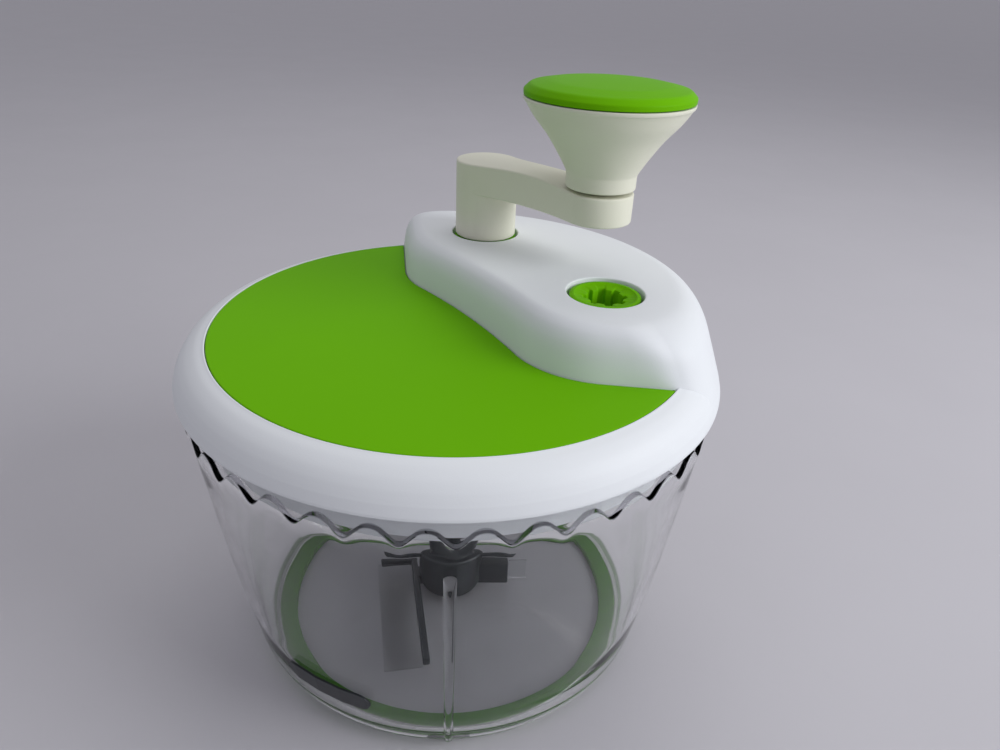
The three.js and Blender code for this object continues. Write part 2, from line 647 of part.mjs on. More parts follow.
function makeKnobCap() {
  const bottom = knobTop + clearance.seat;
  const plugRadius = knob.rimRadius - knob.wall - clearance.seat;
  const dome = capCurve.map(([out, up]) => [knob.rimRadius * out, bottom + cap.rise * up]);
  const profile = [
    [0, bottom], [plugRadius - knob.wall, bottom], [plugRadius - knob.wall, bottom - knob.plugDepth],
    [plugRadius, bottom - knob.plugDepth], [plugRadius, bottom], [knob.rimRadius, bottom],
    [knob.rimRadius, bottom + cap.edge], ...dome, [0, bottom + cap.rise],
  ];
  return piece('knob_cap', at(turned(profile, medium), knobAxis), colour.green, 0.35);
}

// ---------------------------------------------------------------- mixing rotor

// The frame rail passes beside the hub and carries the long paddle on its outer side.
const onFrame = (solid) => solid.rotate([0, 0, rotor.frameTurn]);
const frameRadius = rotor.hubRadius + rotor.frameGap;
const frameBottom = rotorBottom + rotor.frameLift;

function rotorArms() {
  const railY = -rotor.armWidth / 2;
  const rail = block(
    rotor.railLength, rotor.railWidth, rotor.railHeight, 0, railY, rotorHubTop - rotor.railHeight);
  const arm = block(
    rotor.armReach, rotor.armWidth, rotor.armHeight, rotor.armReach / 2, railY / 2, frameBottom);
  const side = block(rotor.frameWidth, rotor.frameLength, rotor.frameHeight,
    -frameRadius, rotor.frameBack - rotor.frameLength / 2, frameBottom);
  const end = block(paddle.width, rotor.frameWidth, rotor.frameHeight,
    -frameRadius - paddle.width / 2, rotor.frameBack - rotor.frameWidth / 2, frameBottom);
  const web = block(frameRadius, rotor.armWidth, rotor.frameHeight, -frameRadius / 2, 0, frameBottom);
  return rail.add(arm).add(onFrame(side.add(end).add(web)));
}

function makeRotorHub() {
  const bossRoom = bowl.bossRadius + clearance.running;
  const bossTop = floorTop + bowl.bossHeight + clearance.seat;
  const pinRoom = pivot.radius + clearance.running;
  const hexRoom = hexRadius + clearance.spline;
  const hexBottom = rotorTop - outputShaft.hexLength - clearance.spline;
  const solid = cylinder(rotor.hubRadius, rotorBottom, rotorHubTop)
    .add(cylinder(hexRoom + rotor.tubeWall, rotorHubTop - overlap, rotorTop))
    .add(rotorArms())
    .subtract(cylinder(bossRoom, rotorBottom - overlap, bossTop))
    .subtract(cylinder(pinRoom, rotorBottom - overlap, pivotTop + clearance.pinEnd, coarse))
    .subtract(extruded(hexagon(hexRoom), hexBottom, rotorTop + overlap));
  return piece('rotor_hub', solid, colour.dark, 0.5);
}

function makeFrontPaddle() {
  const inner = -frameRadius - rotor.frameWidth / 2 - clearance.seat;
  const back = rotor.frameBack - rotor.frameWidth - clearance.seat;
  const plate = block(paddle.width, paddle.length, paddle.thickness, inner - paddle.width / 2,
    back - paddle.length / 2, frameBottom + (rotor.frameHeight - paddle.thickness) / 2);
  return piece('front_paddle', onFrame(plate), colour.smoke, 0.2);
}

function makeSidePaddle() {
  const start = rotor.armReach + clearance.seat;
  const bottom = frameBottom + (rotor.armHeight - paddle.sideHeight) / 2;
  const plate = block(paddle.sideLength, paddle.thickness, paddle.sideHeight,
    start + paddle.sideLength / 2, -rotor.armWidth / 4, bottom);
  return piece('side_paddle', plate, colour.smoke, 0.2);
}

// ---------------------------------------------------------------- assembly

const group = new THREE.Group();
group.add(makeBowl(), makeRing(), makePivotPin(), makeBadge());
group.add(makeLidShell(), makeGearHousing(), makeLeaf(), makeGasket(), makeGearPlate(), ...makeScrews());
group.add(makeBush(), makeSeal());
group.add(makeAxle('drive_axle', driveAxis, axleTop), makeAxle('idler_axle', idlerAxis, axleTop),
  makeAxle('free_axle', freeAxis, axleTop));
group.add(makeDriveGear(), makeFreeGear(), makeIdler(), makeOutputGear(), makeOutputShaft());
group.add(makeCrank(), makeKnobPin(), makeKnobWasher(), makeKnobBody(), makeKnobCap());
group.add(makeRotorHub(), makeFrontPaddle(), makeSidePaddle());

export default group;
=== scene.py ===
"""Looks of a hand-cranked food chopper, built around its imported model. Metres, +Z up."""

import json
import math

import bmesh
import bpy
import numpy as np
from mathutils import Matrix, Vector
from mathutils.geometry import tessellate_polygon


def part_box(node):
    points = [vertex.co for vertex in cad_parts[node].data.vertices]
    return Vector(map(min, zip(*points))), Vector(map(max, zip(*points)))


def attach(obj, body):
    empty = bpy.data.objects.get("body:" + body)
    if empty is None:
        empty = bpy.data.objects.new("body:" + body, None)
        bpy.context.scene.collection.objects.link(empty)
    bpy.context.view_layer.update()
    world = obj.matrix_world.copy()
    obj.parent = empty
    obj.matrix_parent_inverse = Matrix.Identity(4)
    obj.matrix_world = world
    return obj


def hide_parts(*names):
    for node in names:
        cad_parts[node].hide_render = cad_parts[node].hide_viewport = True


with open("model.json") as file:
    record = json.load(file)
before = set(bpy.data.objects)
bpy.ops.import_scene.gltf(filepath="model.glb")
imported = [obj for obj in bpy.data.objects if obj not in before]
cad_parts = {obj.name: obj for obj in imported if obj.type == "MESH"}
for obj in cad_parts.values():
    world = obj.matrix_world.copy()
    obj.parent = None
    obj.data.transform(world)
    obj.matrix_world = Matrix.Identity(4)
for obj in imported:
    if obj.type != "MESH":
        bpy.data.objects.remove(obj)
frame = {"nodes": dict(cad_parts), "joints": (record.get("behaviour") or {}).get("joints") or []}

bl_info = {
    "name": "Hand-Cranked Food Chopper",
    "version": (1, 0, 0),
    "blender": (4, 5, 0),
    "location": "View3D > Sidebar > Chopper",
    "description": "Clear bowl, geared lid, crank and mixing rotor of a hand-cranked food chopper",
    "category": "Add Mesh",
}

MM = 0.001
TAU = 2 * math.pi
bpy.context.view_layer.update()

# ---------------------------------------------------------------- places taken from the frame


def low(node, axis):
    """The lower side of a node's box."""
    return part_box(node)[0][axis]


def high(node, axis):
    """The upper side of a node's box."""
    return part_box(node)[1][axis]


def joint_axis(name):
    """The place of a hinge, seen from above."""
    joint = next(j for j in frame["joints"] if j["name"] == name)
    return np.array(joint["pos_m"][:2])


X, Z = 0, 2
DRIVE = joint_axis("drive_spin")
FREE = joint_axis("free_spin")
KNOB = joint_axis("knob_spin")
MIDDLE = np.zeros(2)
SOCKETS = (DRIVE, FREE)
LID_RADIUS = high("lid_shell", X)
LID_TOP = high("leaf_panel", Z)
HOUSING_TOP = high("gear_housing", Z)
SKIRT_BOTTOM = low("lid_shell", Z)
PLATE_RADIUS = high("gear_plate", X)
BOWL_TOP = high("bowl", Z)
RING_RADIUS = high("anti_slip_ring", X)
RING_TOP = high("anti_slip_ring", Z)
CRANK_TOP = high("crank_arm", Z)
CRANK_LENGTH = float(np.linalg.norm(KNOB - DRIVE))
KNOB_BOTTOM = low("knob_body", Z)
KNOB_TOP = high("knob_body", Z)
KNOB_RADIUS = high("knob_body", X) - KNOB[0]
CAP_TOP = high("knob_cap", Z)
ROTOR_BOTTOM = low("rotor_hub", Z)
ROTOR_TOP = high("rotor_hub", Z)

# what the frame doesn't hold
SOCKET_TOP = HOUSING_TOP - 0.8 * MM
SOCKET_HUB = 11.6 * MM
SOCKET_DEPTH = 15.5 * MM
PIN_BORE = 2.8 * MM
SPLINES = 8
GEAR_MODULE = 1.5 * MM
GEAR_WIDTH = 6 * MM
DRIVE_TEETH, FREE_TEETH = 32, 25
FRONT = math.radians(270)
WAVES = 38
WAVE_START = math.radians(270.9)
BOWL_RIM = 86.9 * MM
FOOT_RADIUS, FOOT_BOTTOM = 70.6 * MM, 0.8 * MM
LID_EDGE_BOTTOM = 109.4 * MM
HOLE_STEPS = 96


def mm(*values):
    """Millimetres as an array of metres."""
    return np.array(values) * MM


def eased(share):
    """A smooth step from 0 to 1: x squared times (3 - 2 x), with x held between 0 and 1."""
    share = np.clip(share, 0, 1)
    return share * share * (3 - 2 * share)


def arc(centre, radius, start, end, count):
    """Points of a circle: centre + radius (cos a, sin a), with a running evenly from start to end."""
    angle = np.linspace(start, end, count)
    return np.asarray(centre) + radius * np.stack([np.cos(angle), np.sin(angle)], 1)


def circle(centre, radius, count):
    """A whole circle, without its last point, which would repeat the first."""
    return arc(centre, radius, 0, TAU, count + 1)[:-1]


def rounded(corners, count=6):
    """A polyline of (x, y, fillet) corners, each fillet an arc that touches both of its sides."""
    points = np.array([c[:2] for c in corners], float)
    out = [points[0]]
    for i in range(1, len(points) - 1):
        fillet = corners[i][2] if len(corners[i]) > 2 else 0
        before, after = points[i - 1] - points[i], points[i + 1] - points[i]
        lengths = np.linalg.norm(before), np.linalg.norm(after)
        before, after = before / lengths[0], after / lengths[1]
        turn = math.acos(np.clip(before @ after, -1, 1))
        if fillet <= 0 or turn > math.pi - 1e-3:
            out.append(points[i])
            continue
        reach = min(fillet / math.tan(turn / 2), 0.48 * min(lengths))
        radius = reach * math.tan(turn / 2)
        middle = (before + after) / np.linalg.norm(before + after)
        centre = points[i] + middle * radius / math.sin(turn / 2)
        first, last = points[i] + before * reach - centre, points[i] + after * reach - centre
        share = np.linspace(0, 1, count)[:, None]
        spoke = first * (1 - share) + last * share
        out.extend(centre + radius * spoke / np.linalg.norm(spoke, axis=1)[:, None])
    out.append(points[-1])
    return np.array(out)


def smooth_line(knots, count):
    """A Catmull-Rom curve through the knots: each span is the cubic with the neighbours' slopes."""
    knots = np.array(knots, float)
    padded = np.vstack([2 * knots[0] - knots[1], knots, 2 * knots[-1] - knots[-2]])
    place = np.linspace(0, len(knots) - 1 - 1e-9, count)
    span = place.astype(int)
    t = (place - span)[:, None]
    a, b, c, d = (padded[span + k] for k in range(4))
    bend, twist = 2 * a - 5 * b + 4 * c - d, 3 * b - a - 3 * c + d
    return 0.5 * (2 * b + (c - a) * t + bend * t**2 + twist * t**3)


def grid_faces(rows, columns, close_rows=False, close_columns=False):
    """Quads of a grid of rows x columns points, whose last row or column may join the first."""
    row = np.arange(rows if close_rows else rows - 1)
    column = np.arange(columns if close_columns else columns - 1)
    r, c = np.meshgrid(row, column, indexing="ij")
    r2, c2 = (r + 1) % rows, (c + 1) % columns
    quads = np.stack([r * columns + c, r * columns + c2, r2 * columns + c2, r2 * columns + c], -1)
    return quads.reshape(-1, 4)


def sheet_of(points, close_rows=False, close_columns=False):
    """One surface as (vertices, faces) from a grid of points."""
    points = np.asarray(points, float)
    return points.reshape(-1, 3), grid_faces(*points.shape[:2], close_rows, close_columns).tolist()


def flat_fill(loops, height):
    """A level face inside the first loop and outside the others, cut into triangles."""
    rings = [[Vector((x, y, 0)) for x, y in loop] for loop in loops]
    flat = np.concatenate([np.asarray(loop) for loop in loops])
    vertices = np.column_stack([flat, np.full(len(flat), height)])
    return vertices, [list(t) for t in tessellate_polygon(rings)]


def turned(profile, sides=128, centre=MIDDLE, closed=True, angles=None):
    """A profile of (radius, height) rows carried round an axis: x = r cos a, y = r sin a, z = h.
    A radius or height may also be an array over the angles, which makes teeth, waves and ribs."""
    angle = np.linspace(0, TAU, sides, endpoint=False) if angles is None else angles
    radius = np.array([np.broadcast_to(r, angle.shape) for r, _ in profile])
    height = np.array([np.broadcast_to(h, angle.shape) for _, h in profile])
    points = [centre[0] + radius * np.cos(angle), centre[1] + radius * np.sin(angle), height]
    return sheet_of(np.stack(points, -1), close_rows=closed, close_columns=True)


def rounded_block(centre, size, radius, steps=6, turn=0.0):
    """A box with round edges: every direction n of a sphere maps to sign(n) (half - radius) + radius n."""
    quarter = np.linspace(0, math.pi / 2, steps)
    around = np.concatenate([quarter + k * math.pi / 2 for k in range(4)])
    around_sign = np.repeat([[1, 1], [-1, 1], [-1, -1], [1, -1]], steps, axis=0)
    rise = np.concatenate([quarter - math.pi / 2, quarter])
    rise_sign = np.repeat([-1, 1], steps)
    a, b = np.meshgrid(rise, around, indexing="ij")
    normal = np.stack([np.cos(a) * np.cos(b), np.cos(a) * np.sin(b), np.sin(a)], -1)
    sign = np.zeros_like(normal)
    sign[..., :2] = around_sign[None]
    sign[..., 2] = rise_sign[:, None]
    half = np.array(size) / 2 - radius
    points = sign * half + radius * normal
    cos, sin = math.cos(turn), math.sin(turn)
    points = points @ np.array([[cos, sin, 0], [-sin, cos, 0], [0, 0, 1]])
    vertices, faces = sheet_of(points + np.array(centre), close_columns=True)
    last = len(vertices) - len(around)
    caps = [list(range(len(around))), list(range(last, len(vertices)))]
    return vertices, faces + caps


def make_piece(name, parts, material, body, replaces, smooth_angle=38):
    """Joins surfaces into one mesh, merges what coincides, turns faces outwards and gives it to a body."""
    bm = bmesh.new()
    holder = bpy.data.meshes.new("shell")
    for vertices, faces in parts:
        holder.clear_geometry()
        holder.from_pydata(vertices, [], faces)
        shell = bmesh.new()
        shell.from_mesh(holder)
        bmesh.ops.remove_doubles(shell, verts=shell.verts, dist=1e-7)
        bmesh.ops.recalc_face_normals(shell, faces=shell.faces)
        shell.to_mesh(holder)
        shell.free()
        bm.from_mesh(holder)
    bpy.data.meshes.remove(holder)
    mesh = bpy.data.meshes.new(name)
    bm.to_mesh(mesh)
    bm.free()
    mesh.shade_smooth()
    mesh.set_sharp_from_angle(angle=math.radians(smooth_angle))
    mesh.materials.append(material)
    piece = bpy.data.objects.new(name, mesh)
    bpy.context.scene.collection.objects.link(piece)
    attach(piece, body)
    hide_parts(*replaces)


def one_shell(*sheets):
    """Several sheets that share edges, as one surface."""
    vertices, faces, start = [], [], 0
    for points, quads in sheets:
        vertices.append(points)
        faces.extend([[i + start for i in face] for face in quads])
        start += len(points)
    return np.concatenate(vertices), faces


# ---------------------------------------------------------------- shader expressions


class Wire:
    """A shader socket. Arithmetic on it adds the Math nodes that do the same."""

    def __init__(self, paint, socket):
        self.paint, self.socket = paint, socket

    def math(self, operation, *values):
        return self.paint.math(operation, *values)

    def __add__(self, other):
        return self.math("ADD", self, other)

    def __sub__(self, other):
        return self.math("SUBTRACT", self, other)

    def __rsub__(self, other):
        return self.math("SUBTRACT", other, self)

    def __mul__(self, other):
        return self.math("MULTIPLY", self, other)

    def __pow__(self, other):
        return self.math("POWER", self, other)

    __radd__ = __add__
    __rmul__ = __mul__

    def __abs__(self):
        return self.math("ABSOLUTE", self)

    def step(self, start, end):
        """0 before start, 1 after end, and smooth between them."""
        settings = {"interpolation_type": "SMOOTHSTEP"}
        return self.paint.add("ShaderNodeMapRange", settings, {0: self, 1: start, 2: end})


class Paint:
    """A material under construction around one Principled shader."""

    def __init__(self, name, **constants):
        self.material = bpy.data.materials.new(name)
        self.material.use_nodes = True
        self.tree = self.material.node_tree
        self.shader = self.tree.nodes["Principled BSDF"]
        self.set(**constants)

    def add(self, kind, settings=None, inputs=None, output=0):
        """One node: its type, its settings, then the values or links of its sockets."""
        node = self.tree.nodes.new(kind)
        for key, value in (settings or {}).items():
            setattr(node, key, value)
        for key, value in (inputs or {}).items():
            self.feed(node.inputs[key], value)
        return Wire(self, node.outputs[output])

    def feed(self, socket, value):
        """Links a wire to a socket, or sets a plain value on it."""
        if isinstance(value, Wire):
            self.tree.links.new(value.socket, socket)
        else:
            socket.default_value = value

    def set(self, **sockets):
        """Feeds sockets of the Principled shader, named with _ for a space."""
        for name, value in sockets.items():
            self.feed(self.shader.inputs[name.replace("_", " ")], value)
        return self

    def math(self, operation, *values):
        """One Math node."""
        return self.add("ShaderNodeMath", {"operation": operation}, dict(enumerate(values)))

    def place(self):
        """Object coordinates, which follow the piece."""
        return self.add("ShaderNodeTexCoord", output="Object")

    def axes(self):
        """Object coordinates as three numbers."""
        parts = self.add("ShaderNodeSeparateXYZ", inputs={0: self.place()})
        outputs = parts.socket.node.outputs
        return [Wire(self, outputs[k]) for k in range(3)]

    def noise(self, scale, detail=2.0, roughness=0.5):
        """Fractal noise between 0 and 1, with scale cells to the metre."""
        sockets = {"Vector": self.place(), "Scale": scale, "Detail": detail, "Roughness": roughness}
        return self.add("ShaderNodeTexNoise", inputs=sockets)

    def blend(self, share, first, second):
        """A colour between two others."""
        sockets = {0: share, 6: first, 7: second}
        return self.add("ShaderNodeMix", {"data_type": "RGBA"}, sockets, output=2)

    def bump(self, height, distance, strength=1.0):
        """A normal tilted by a height that stands for a distance in metres."""
        sockets = {"Height": height, "Distance": distance, "Strength": strength}
        return self.add("ShaderNodeBump", inputs=sockets)

    def smudges(self, tint):
        """A clear tint with faint smudges from handling."""
        smudge = self.noise(70, 4, 0.6).step(0.5, 0.8)
        return self.blend(smudge, tint, scaled(tint, 0.96))

    def uneven(self):
        """The slow flow marks of a clear moulding, as a normal."""
        return self.bump(self.noise(30, 2), 0.05 * MM, 0.3)


def scaled(colour, factor):
    """A colour made lighter or darker, and held at 1."""
    return (*(min(1.0, c * factor) for c in colour[:3]), 1.0)


def moulded(name, colour, roughness, grain=0.02, mottle=0.05, ior=1.45):
    """Moulded plastic: faint flow mottling, a fine grain, uneven gloss and a few dull scuffs."""
    paint = Paint(name, IOR=ior)
    broad = paint.noise(22, 3)
    fine = paint.noise(2600, 2)
    scuff = paint.noise(140, 6, 0.7).step(0.62, 0.74)
    base = paint.blend(broad, scaled(colour, 1 - mottle), scaled(colour, 1 + mottle))
    base = paint.blend(scuff * 0.12, base, scaled(colour, 1.12))
    gloss = roughness + (broad - 0.5) * 0.10 + scuff * 0.10
    return paint.set(Base_Color=base, Roughness=gloss, Normal=paint.bump(fine, grain * MM)).material


def metal(name, colour, roughness):
    """Steel: a very fine grain and a slight stain."""
    paint = Paint(name, Metallic=1.0)
    grain = paint.noise(3200, 2)
    stain = paint.noise(160, 4)
    base = paint.blend(stain, scaled(colour, 0.86), colour)
    gloss = roughness + (stain - 0.5) * 0.16
    return paint.set(Base_Color=base, Roughness=gloss, Normal=paint.bump(grain, 0.01 * MM)).material


def clear_plastic(name, tint, roughness):
    """Clear moulded plastic, a little uneven, with faint smudges from handling."""
    paint = Paint(name, Transmission_Weight=1.0, IOR=1.15, Roughness=roughness)
    return paint.set(Base_Color=paint.smudges(tint), Normal=paint.uneven()).material


def ledge_height(wave, double_wave):
    """Height of the bowl's wavy ledge: mean + half (-cos a - 0.12 (cos 2 a - 1)), given cos a and cos 2 a as
    arrays or as wires."""
    s = sizes()
    mean, half = (s.wave_low + s.wave_high) / 2, (s.wave_high - s.wave_low) / 2
    return mean + half * (wave * -1 - (double_wave - 1) * 0.12)


def bowl_plastic(name, tint):
    """Clear plastic with painted shade where the wavy ledge and the foot bend the light: a dark line painted
    along the ledge outside the neck, and a dark green band painted round the foot."""
    paint = Paint(name, Transmission_Weight=1.0, IOR=1.22, Roughness=0.0)
    x, y, z = paint.axes()
    radius = (x * x + y * y) ** 0.5
    around = (paint.math("ARCTAN2", y, x) - WAVE_START) * WAVES
    ledge = ledge_height(paint.math("COSINE", around), paint.math("COSINE", around * 2))
    outside_neck = radius.step(BOWL_RIM - 0.1 * MM, BOWL_RIM + 0.1 * MM)
    # Painted shade: a thin dark line along the ledge, outside the neck, where the ledge bends the light.
    line = (1 - abs(z - ledge).step(0.1 * MM, 0.6 * MM)) * outside_neck
    # Painted shade: a dark green band round the foot, where the foot bends the light.
    outside_floor = radius.step(FOOT_RADIUS - 1.6 * MM, FOOT_RADIUS - 0.6 * MM)
    foot = (1 - abs(z - 2.2 * MM).step(0.6 * MM, 2.2 * MM)) * outside_floor
    # The painted shade of the foot: the tint goes dark green on the band.
    base = paint.blend(foot * 0.9, paint.smudges(tint), (0.14, 0.27, 0.10, 1))
    # The painted shade of the ledge: the tint goes blue-grey along the line.
    base = paint.blend(line * 0.9, base, (0.30, 0.31, 0.35, 1))
    return paint.set(Base_Color=base, Normal=paint.uneven()).material


def soft_rubber(name, colour):
    """Soft rubber: matt, faintly dusty, with a fine grain."""
    paint = Paint(name, Specular_IOR_Level=0.35)
    dust = paint.noise(240, 5, 0.65).step(0.5, 0.8)
    base = paint.blend(dust * 0.35, colour, scaled(colour, 1.5))
    grain = paint.bump(paint.noise(3000), 0.03 * MM)
    return paint.set(Base_Color=base, Roughness=0.62 + dust * 0.2, Normal=grain).material


# ---------------------------------------------------------------- settings


def length_property(name, description, default):
    """A length in metres."""
    return bpy.props.FloatProperty(name=name, description=description, default=default, min=0.0,
                                   unit="LENGTH", precision=5)


def colour_property(name, description, *colour):
    """An opaque colour, as linear light."""
    return bpy.props.FloatVectorProperty(name=name, description=description, default=(*colour, 1), size=4,
                                         min=0.0, max=1.0, subtype="COLOR")


class ChopperColours(bpy.types.PropertyGroup):
    """Colours of the mouldings, as linear light."""

    white: colour_property("Lid white", "Colour of the lid and gear plate", 0.81, 0.84, 0.86)
    green: colour_property("Leaf green", "Colour of the leaf, sockets and knob's cap", 0.150, 0.47, 0.002)
    ivory: colour_property("Crank ivory", "Colour of the crank and the knob", 0.78, 0.78, 0.65)
    dark: colour_property("Rotor grey", "Colour of the rotor's hub and arms", 0.020, 0.024, 0.027)
    clear: colour_property("Bowl tint", "Tint of the clear bowl", 0.98, 0.985, 0.985)
    smoke: colour_property("Paddle tint", "Tint of the smoky paddles", 0.93, 0.94, 0.94)
    rubber: colour_property("Ring green", "Colour of the soft ring under the base", 0.06, 0.24, 0.003)
    steel: colour_property("Steel", "Colour of pins and screws", 0.60, 0.61, 0.63)
    nylon: colour_property("Nylon", "Colour of the inner gears and the bush", 0.72, 0.70, 0.62)
    seal: colour_property("Silicone", "Colour of the gasket and the shaft seal", 0.62, 0.66, 0.66)
    floor: colour_property("Table", "Colour of the table top", 0.56, 0.55, 0.58)


class ChopperSizes(bpy.types.PropertyGroup):
    """Sizes that shape the visible surfaces, in metres."""

    leaf_thickness: length_property(
        "Leaf thickness", "Thickness of the green inlay", LID_TOP - low("leaf_panel", Z))
    crown_radius: length_property("Crown radius", "Radius of the inlay's round edge", 79.3 * MM)
    waist_radius: length_property("Waist radius", "Radius of the arc between both lobes", 238 * MM)
    drive_lobe: length_property("Drive lobe", "Housing radius about the drive socket", 30.7 * MM)
    free_lobe: length_property("Free lobe", "Housing radius about the second socket", 31.8 * MM)
    hole_radius: length_property("Socket hole", "Radius of both holes in the housing", 12.6 * MM)
    bowl_wall: length_property("Bowl wall", "Thickness of the bowl's wall", 2.6 * MM)
    wave_low: length_property("Ledge low", "Height of the wavy ledge's low points", 100.3 * MM)
    wave_high: length_property("Ledge high", "Height of the wavy ledge's high points", 105.0 * MM)
    rib_width: length_property("Rib width", "Width of the rib down the bowl's front", 3.5 * MM)


def sizes():
    """The sizes of this scene."""
    return bpy.context.scene.chopper_sizes


def colours():
    """The colours of this scene."""
    return bpy.context.scene.chopper_colours


def finish_of(slot):
    """The finish of that slot, made when it is first asked for."""
    name = f"{slot}_finish"
    made = bpy.data.materials.get(name)
    if made:
        return made
    c = colours()
    makers = {
        "white_plastic": lambda: moulded(name, c.white, 0.48, mottle=0.02, ior=1.35),
        "green_plastic": lambda: moulded(name, c.green, 0.42, mottle=0.04, ior=1.10),
        "ivory_plastic": lambda: moulded(name, c.ivory, 0.42, mottle=0.03, ior=1.25),
        "dark_plastic": lambda: moulded(name, c.dark, 0.38, mottle=0.15),
        "bowl_plastic": lambda: bowl_plastic(name, c.clear),
        "smoke_plastic": lambda: clear_plastic(name, c.smoke, 0.08),
        "green_rubber": lambda: soft_rubber(name, c.rubber),
        "steel": lambda: metal(name, c.steel, 0.28),
        "nylon": lambda: moulded(name, c.nylon, 0.45),
        "silicone": lambda: soft_rubber(name, c.seal),
    }
    return makers[slot]()


# ---------------------------------------------------------------- lid outlines


def angle_of(vector):
    """The direction of a vector, from -pi to pi."""
    return math.atan2(vector[1], vector[0])


def direction(angle):
    """The unit vector at that angle."""
    return np.array([math.cos(angle), math.sin(angle)])


def waist_centre():
    """Centre of the circle that touches both lobes of the housing from the leaf's side."""
    s = sizes()
    span = FREE - DRIVE
    length = np.linalg.norm(span)
    to_drive, to_free = s.waist_radius + s.drive_lobe, s.waist_radius + s.free_lobe
    along = (to_drive**2 - to_free**2 + length**2) / (2 * length)
    unit = span / length
    return DRIVE + unit * along + np.array([unit[1], -unit[0]]) * math.sqrt(to_drive**2 - along**2)


def edge_curve(inset, rim_radius, count=60):
    """The S-shaped edge between leaf and housing, from the back of the rim to the leaf's tip: tangent, lobe
    arc, waist arc, lobe arc, tangent. It is moved into the housing by inset and ends on rim_radius."""
    s = sizes()
    back, tip = (s.crown_radius * direction(math.radians(a)) for a in (105.6, -34.5))
    waist = waist_centre()

    def touch(point, centre, radius, side):
        away = point - centre
        return angle_of(away) + side * math.acos(radius / np.linalg.norm(away))

    def run_out(centre, radius, angle, side):
        start = centre + radius * direction(angle)
        onward = side * direction(angle + math.pi / 2)
        along = start @ onward
        return start + onward * (math.sqrt(along**2 - start @ start + rim_radius**2) - along)

    drive_start, free_end = touch(back, DRIVE, s.drive_lobe, 1), touch(tip, FREE, s.free_lobe, -1)
    drive_radius, free_radius = s.drive_lobe - inset, s.free_lobe - inset
    drive_end, free_start = angle_of(waist - DRIVE), angle_of(waist - FREE)
    if drive_end < drive_start:
        drive_end += TAU
    if free_end < free_start:
        free_end += TAU
    waist_end = free_start + (math.pi if free_start < 0 else -math.pi)
    return np.vstack([
        run_out(DRIVE, drive_radius, drive_start, -1),
        arc(DRIVE, drive_radius, drive_start, drive_end, count),
        arc(waist, s.waist_radius + inset, drive_end - math.pi, waist_end, count)[1:-1],
        arc(FREE, free_radius, free_start, free_end, count),
        run_out(FREE, free_radius, free_end, 1),
    ])


def evenly(loop, count):
    """The closed loop resampled at equal steps of its length."""
    closed = np.vstack([loop, loop[:1]])
    length = np.concatenate([[0], np.cumsum(np.linalg.norm(np.diff(closed, axis=0), axis=1))])
    place = np.linspace(0, length[-1], count, endpoint=False)
    return np.stack([np.interp(place, length, closed[:, k]) for k in range(2)], 1)


def softened(loop, reach, nose_reach, rim):
    """The loop with every point averaged over its neighbours by a bell curve of that reach. It goes over to a
    wider one at the housing's long nose: in front, and in the outer fifth of the rim's radius."""
    near_rim = eased((np.hypot(*loop.T)[:, None] / rim - 0.80) / 0.15)
    in_front = eased((15 * MM - loop[:, 1:]) / (45 * MM))
    nose = near_rim * in_front
    return averaged(loop, reach) * (1 - nose) + averaged(loop, nose_reach) * nose


def averaged(loop, reach):
    """The closed loop averaged over its neighbours by a bell curve of that reach."""
    step = np.linalg.norm(loop[1] - loop[0])
    offset = np.arange(-len(loop) // 2, len(loop) - len(loop) // 2) * step
    bell = np.exp(-0.5 * (offset / reach) ** 2)
    bell = np.fft.fft(np.fft.ifftshift(bell / bell.sum()))
    return np.stack([np.real(np.fft.ifft(np.fft.fft(loop[:, k]) * bell)) for k in range(2)], 1)


def moved_in(loop, distance):
    """A loop that runs anticlockwise, moved inwards along its normals."""
    along = np.roll(loop, -1, 0) - np.roll(loop, 1, 0)
    along /= np.linalg.norm(along, axis=1)[:, None]
    return loop + distance * np.stack([-along[:, 1], along[:, 0]], 1)


def rim_join(curve, radius, side, count=120):
    """An S edge closed along the rim: side +1 runs anticlockwise round the housing, -1 round the leaf."""
    start, end = angle_of(curve[-1]), angle_of(curve[0])
    if side > 0 and end < start:
        end += TAU
    if side < 0 and end > start:
        end -= TAU
    return np.vstack([curve, arc(MIDDLE, radius, start, end, count)[1:-1]])


# ---------------------------------------------------------------- pieces


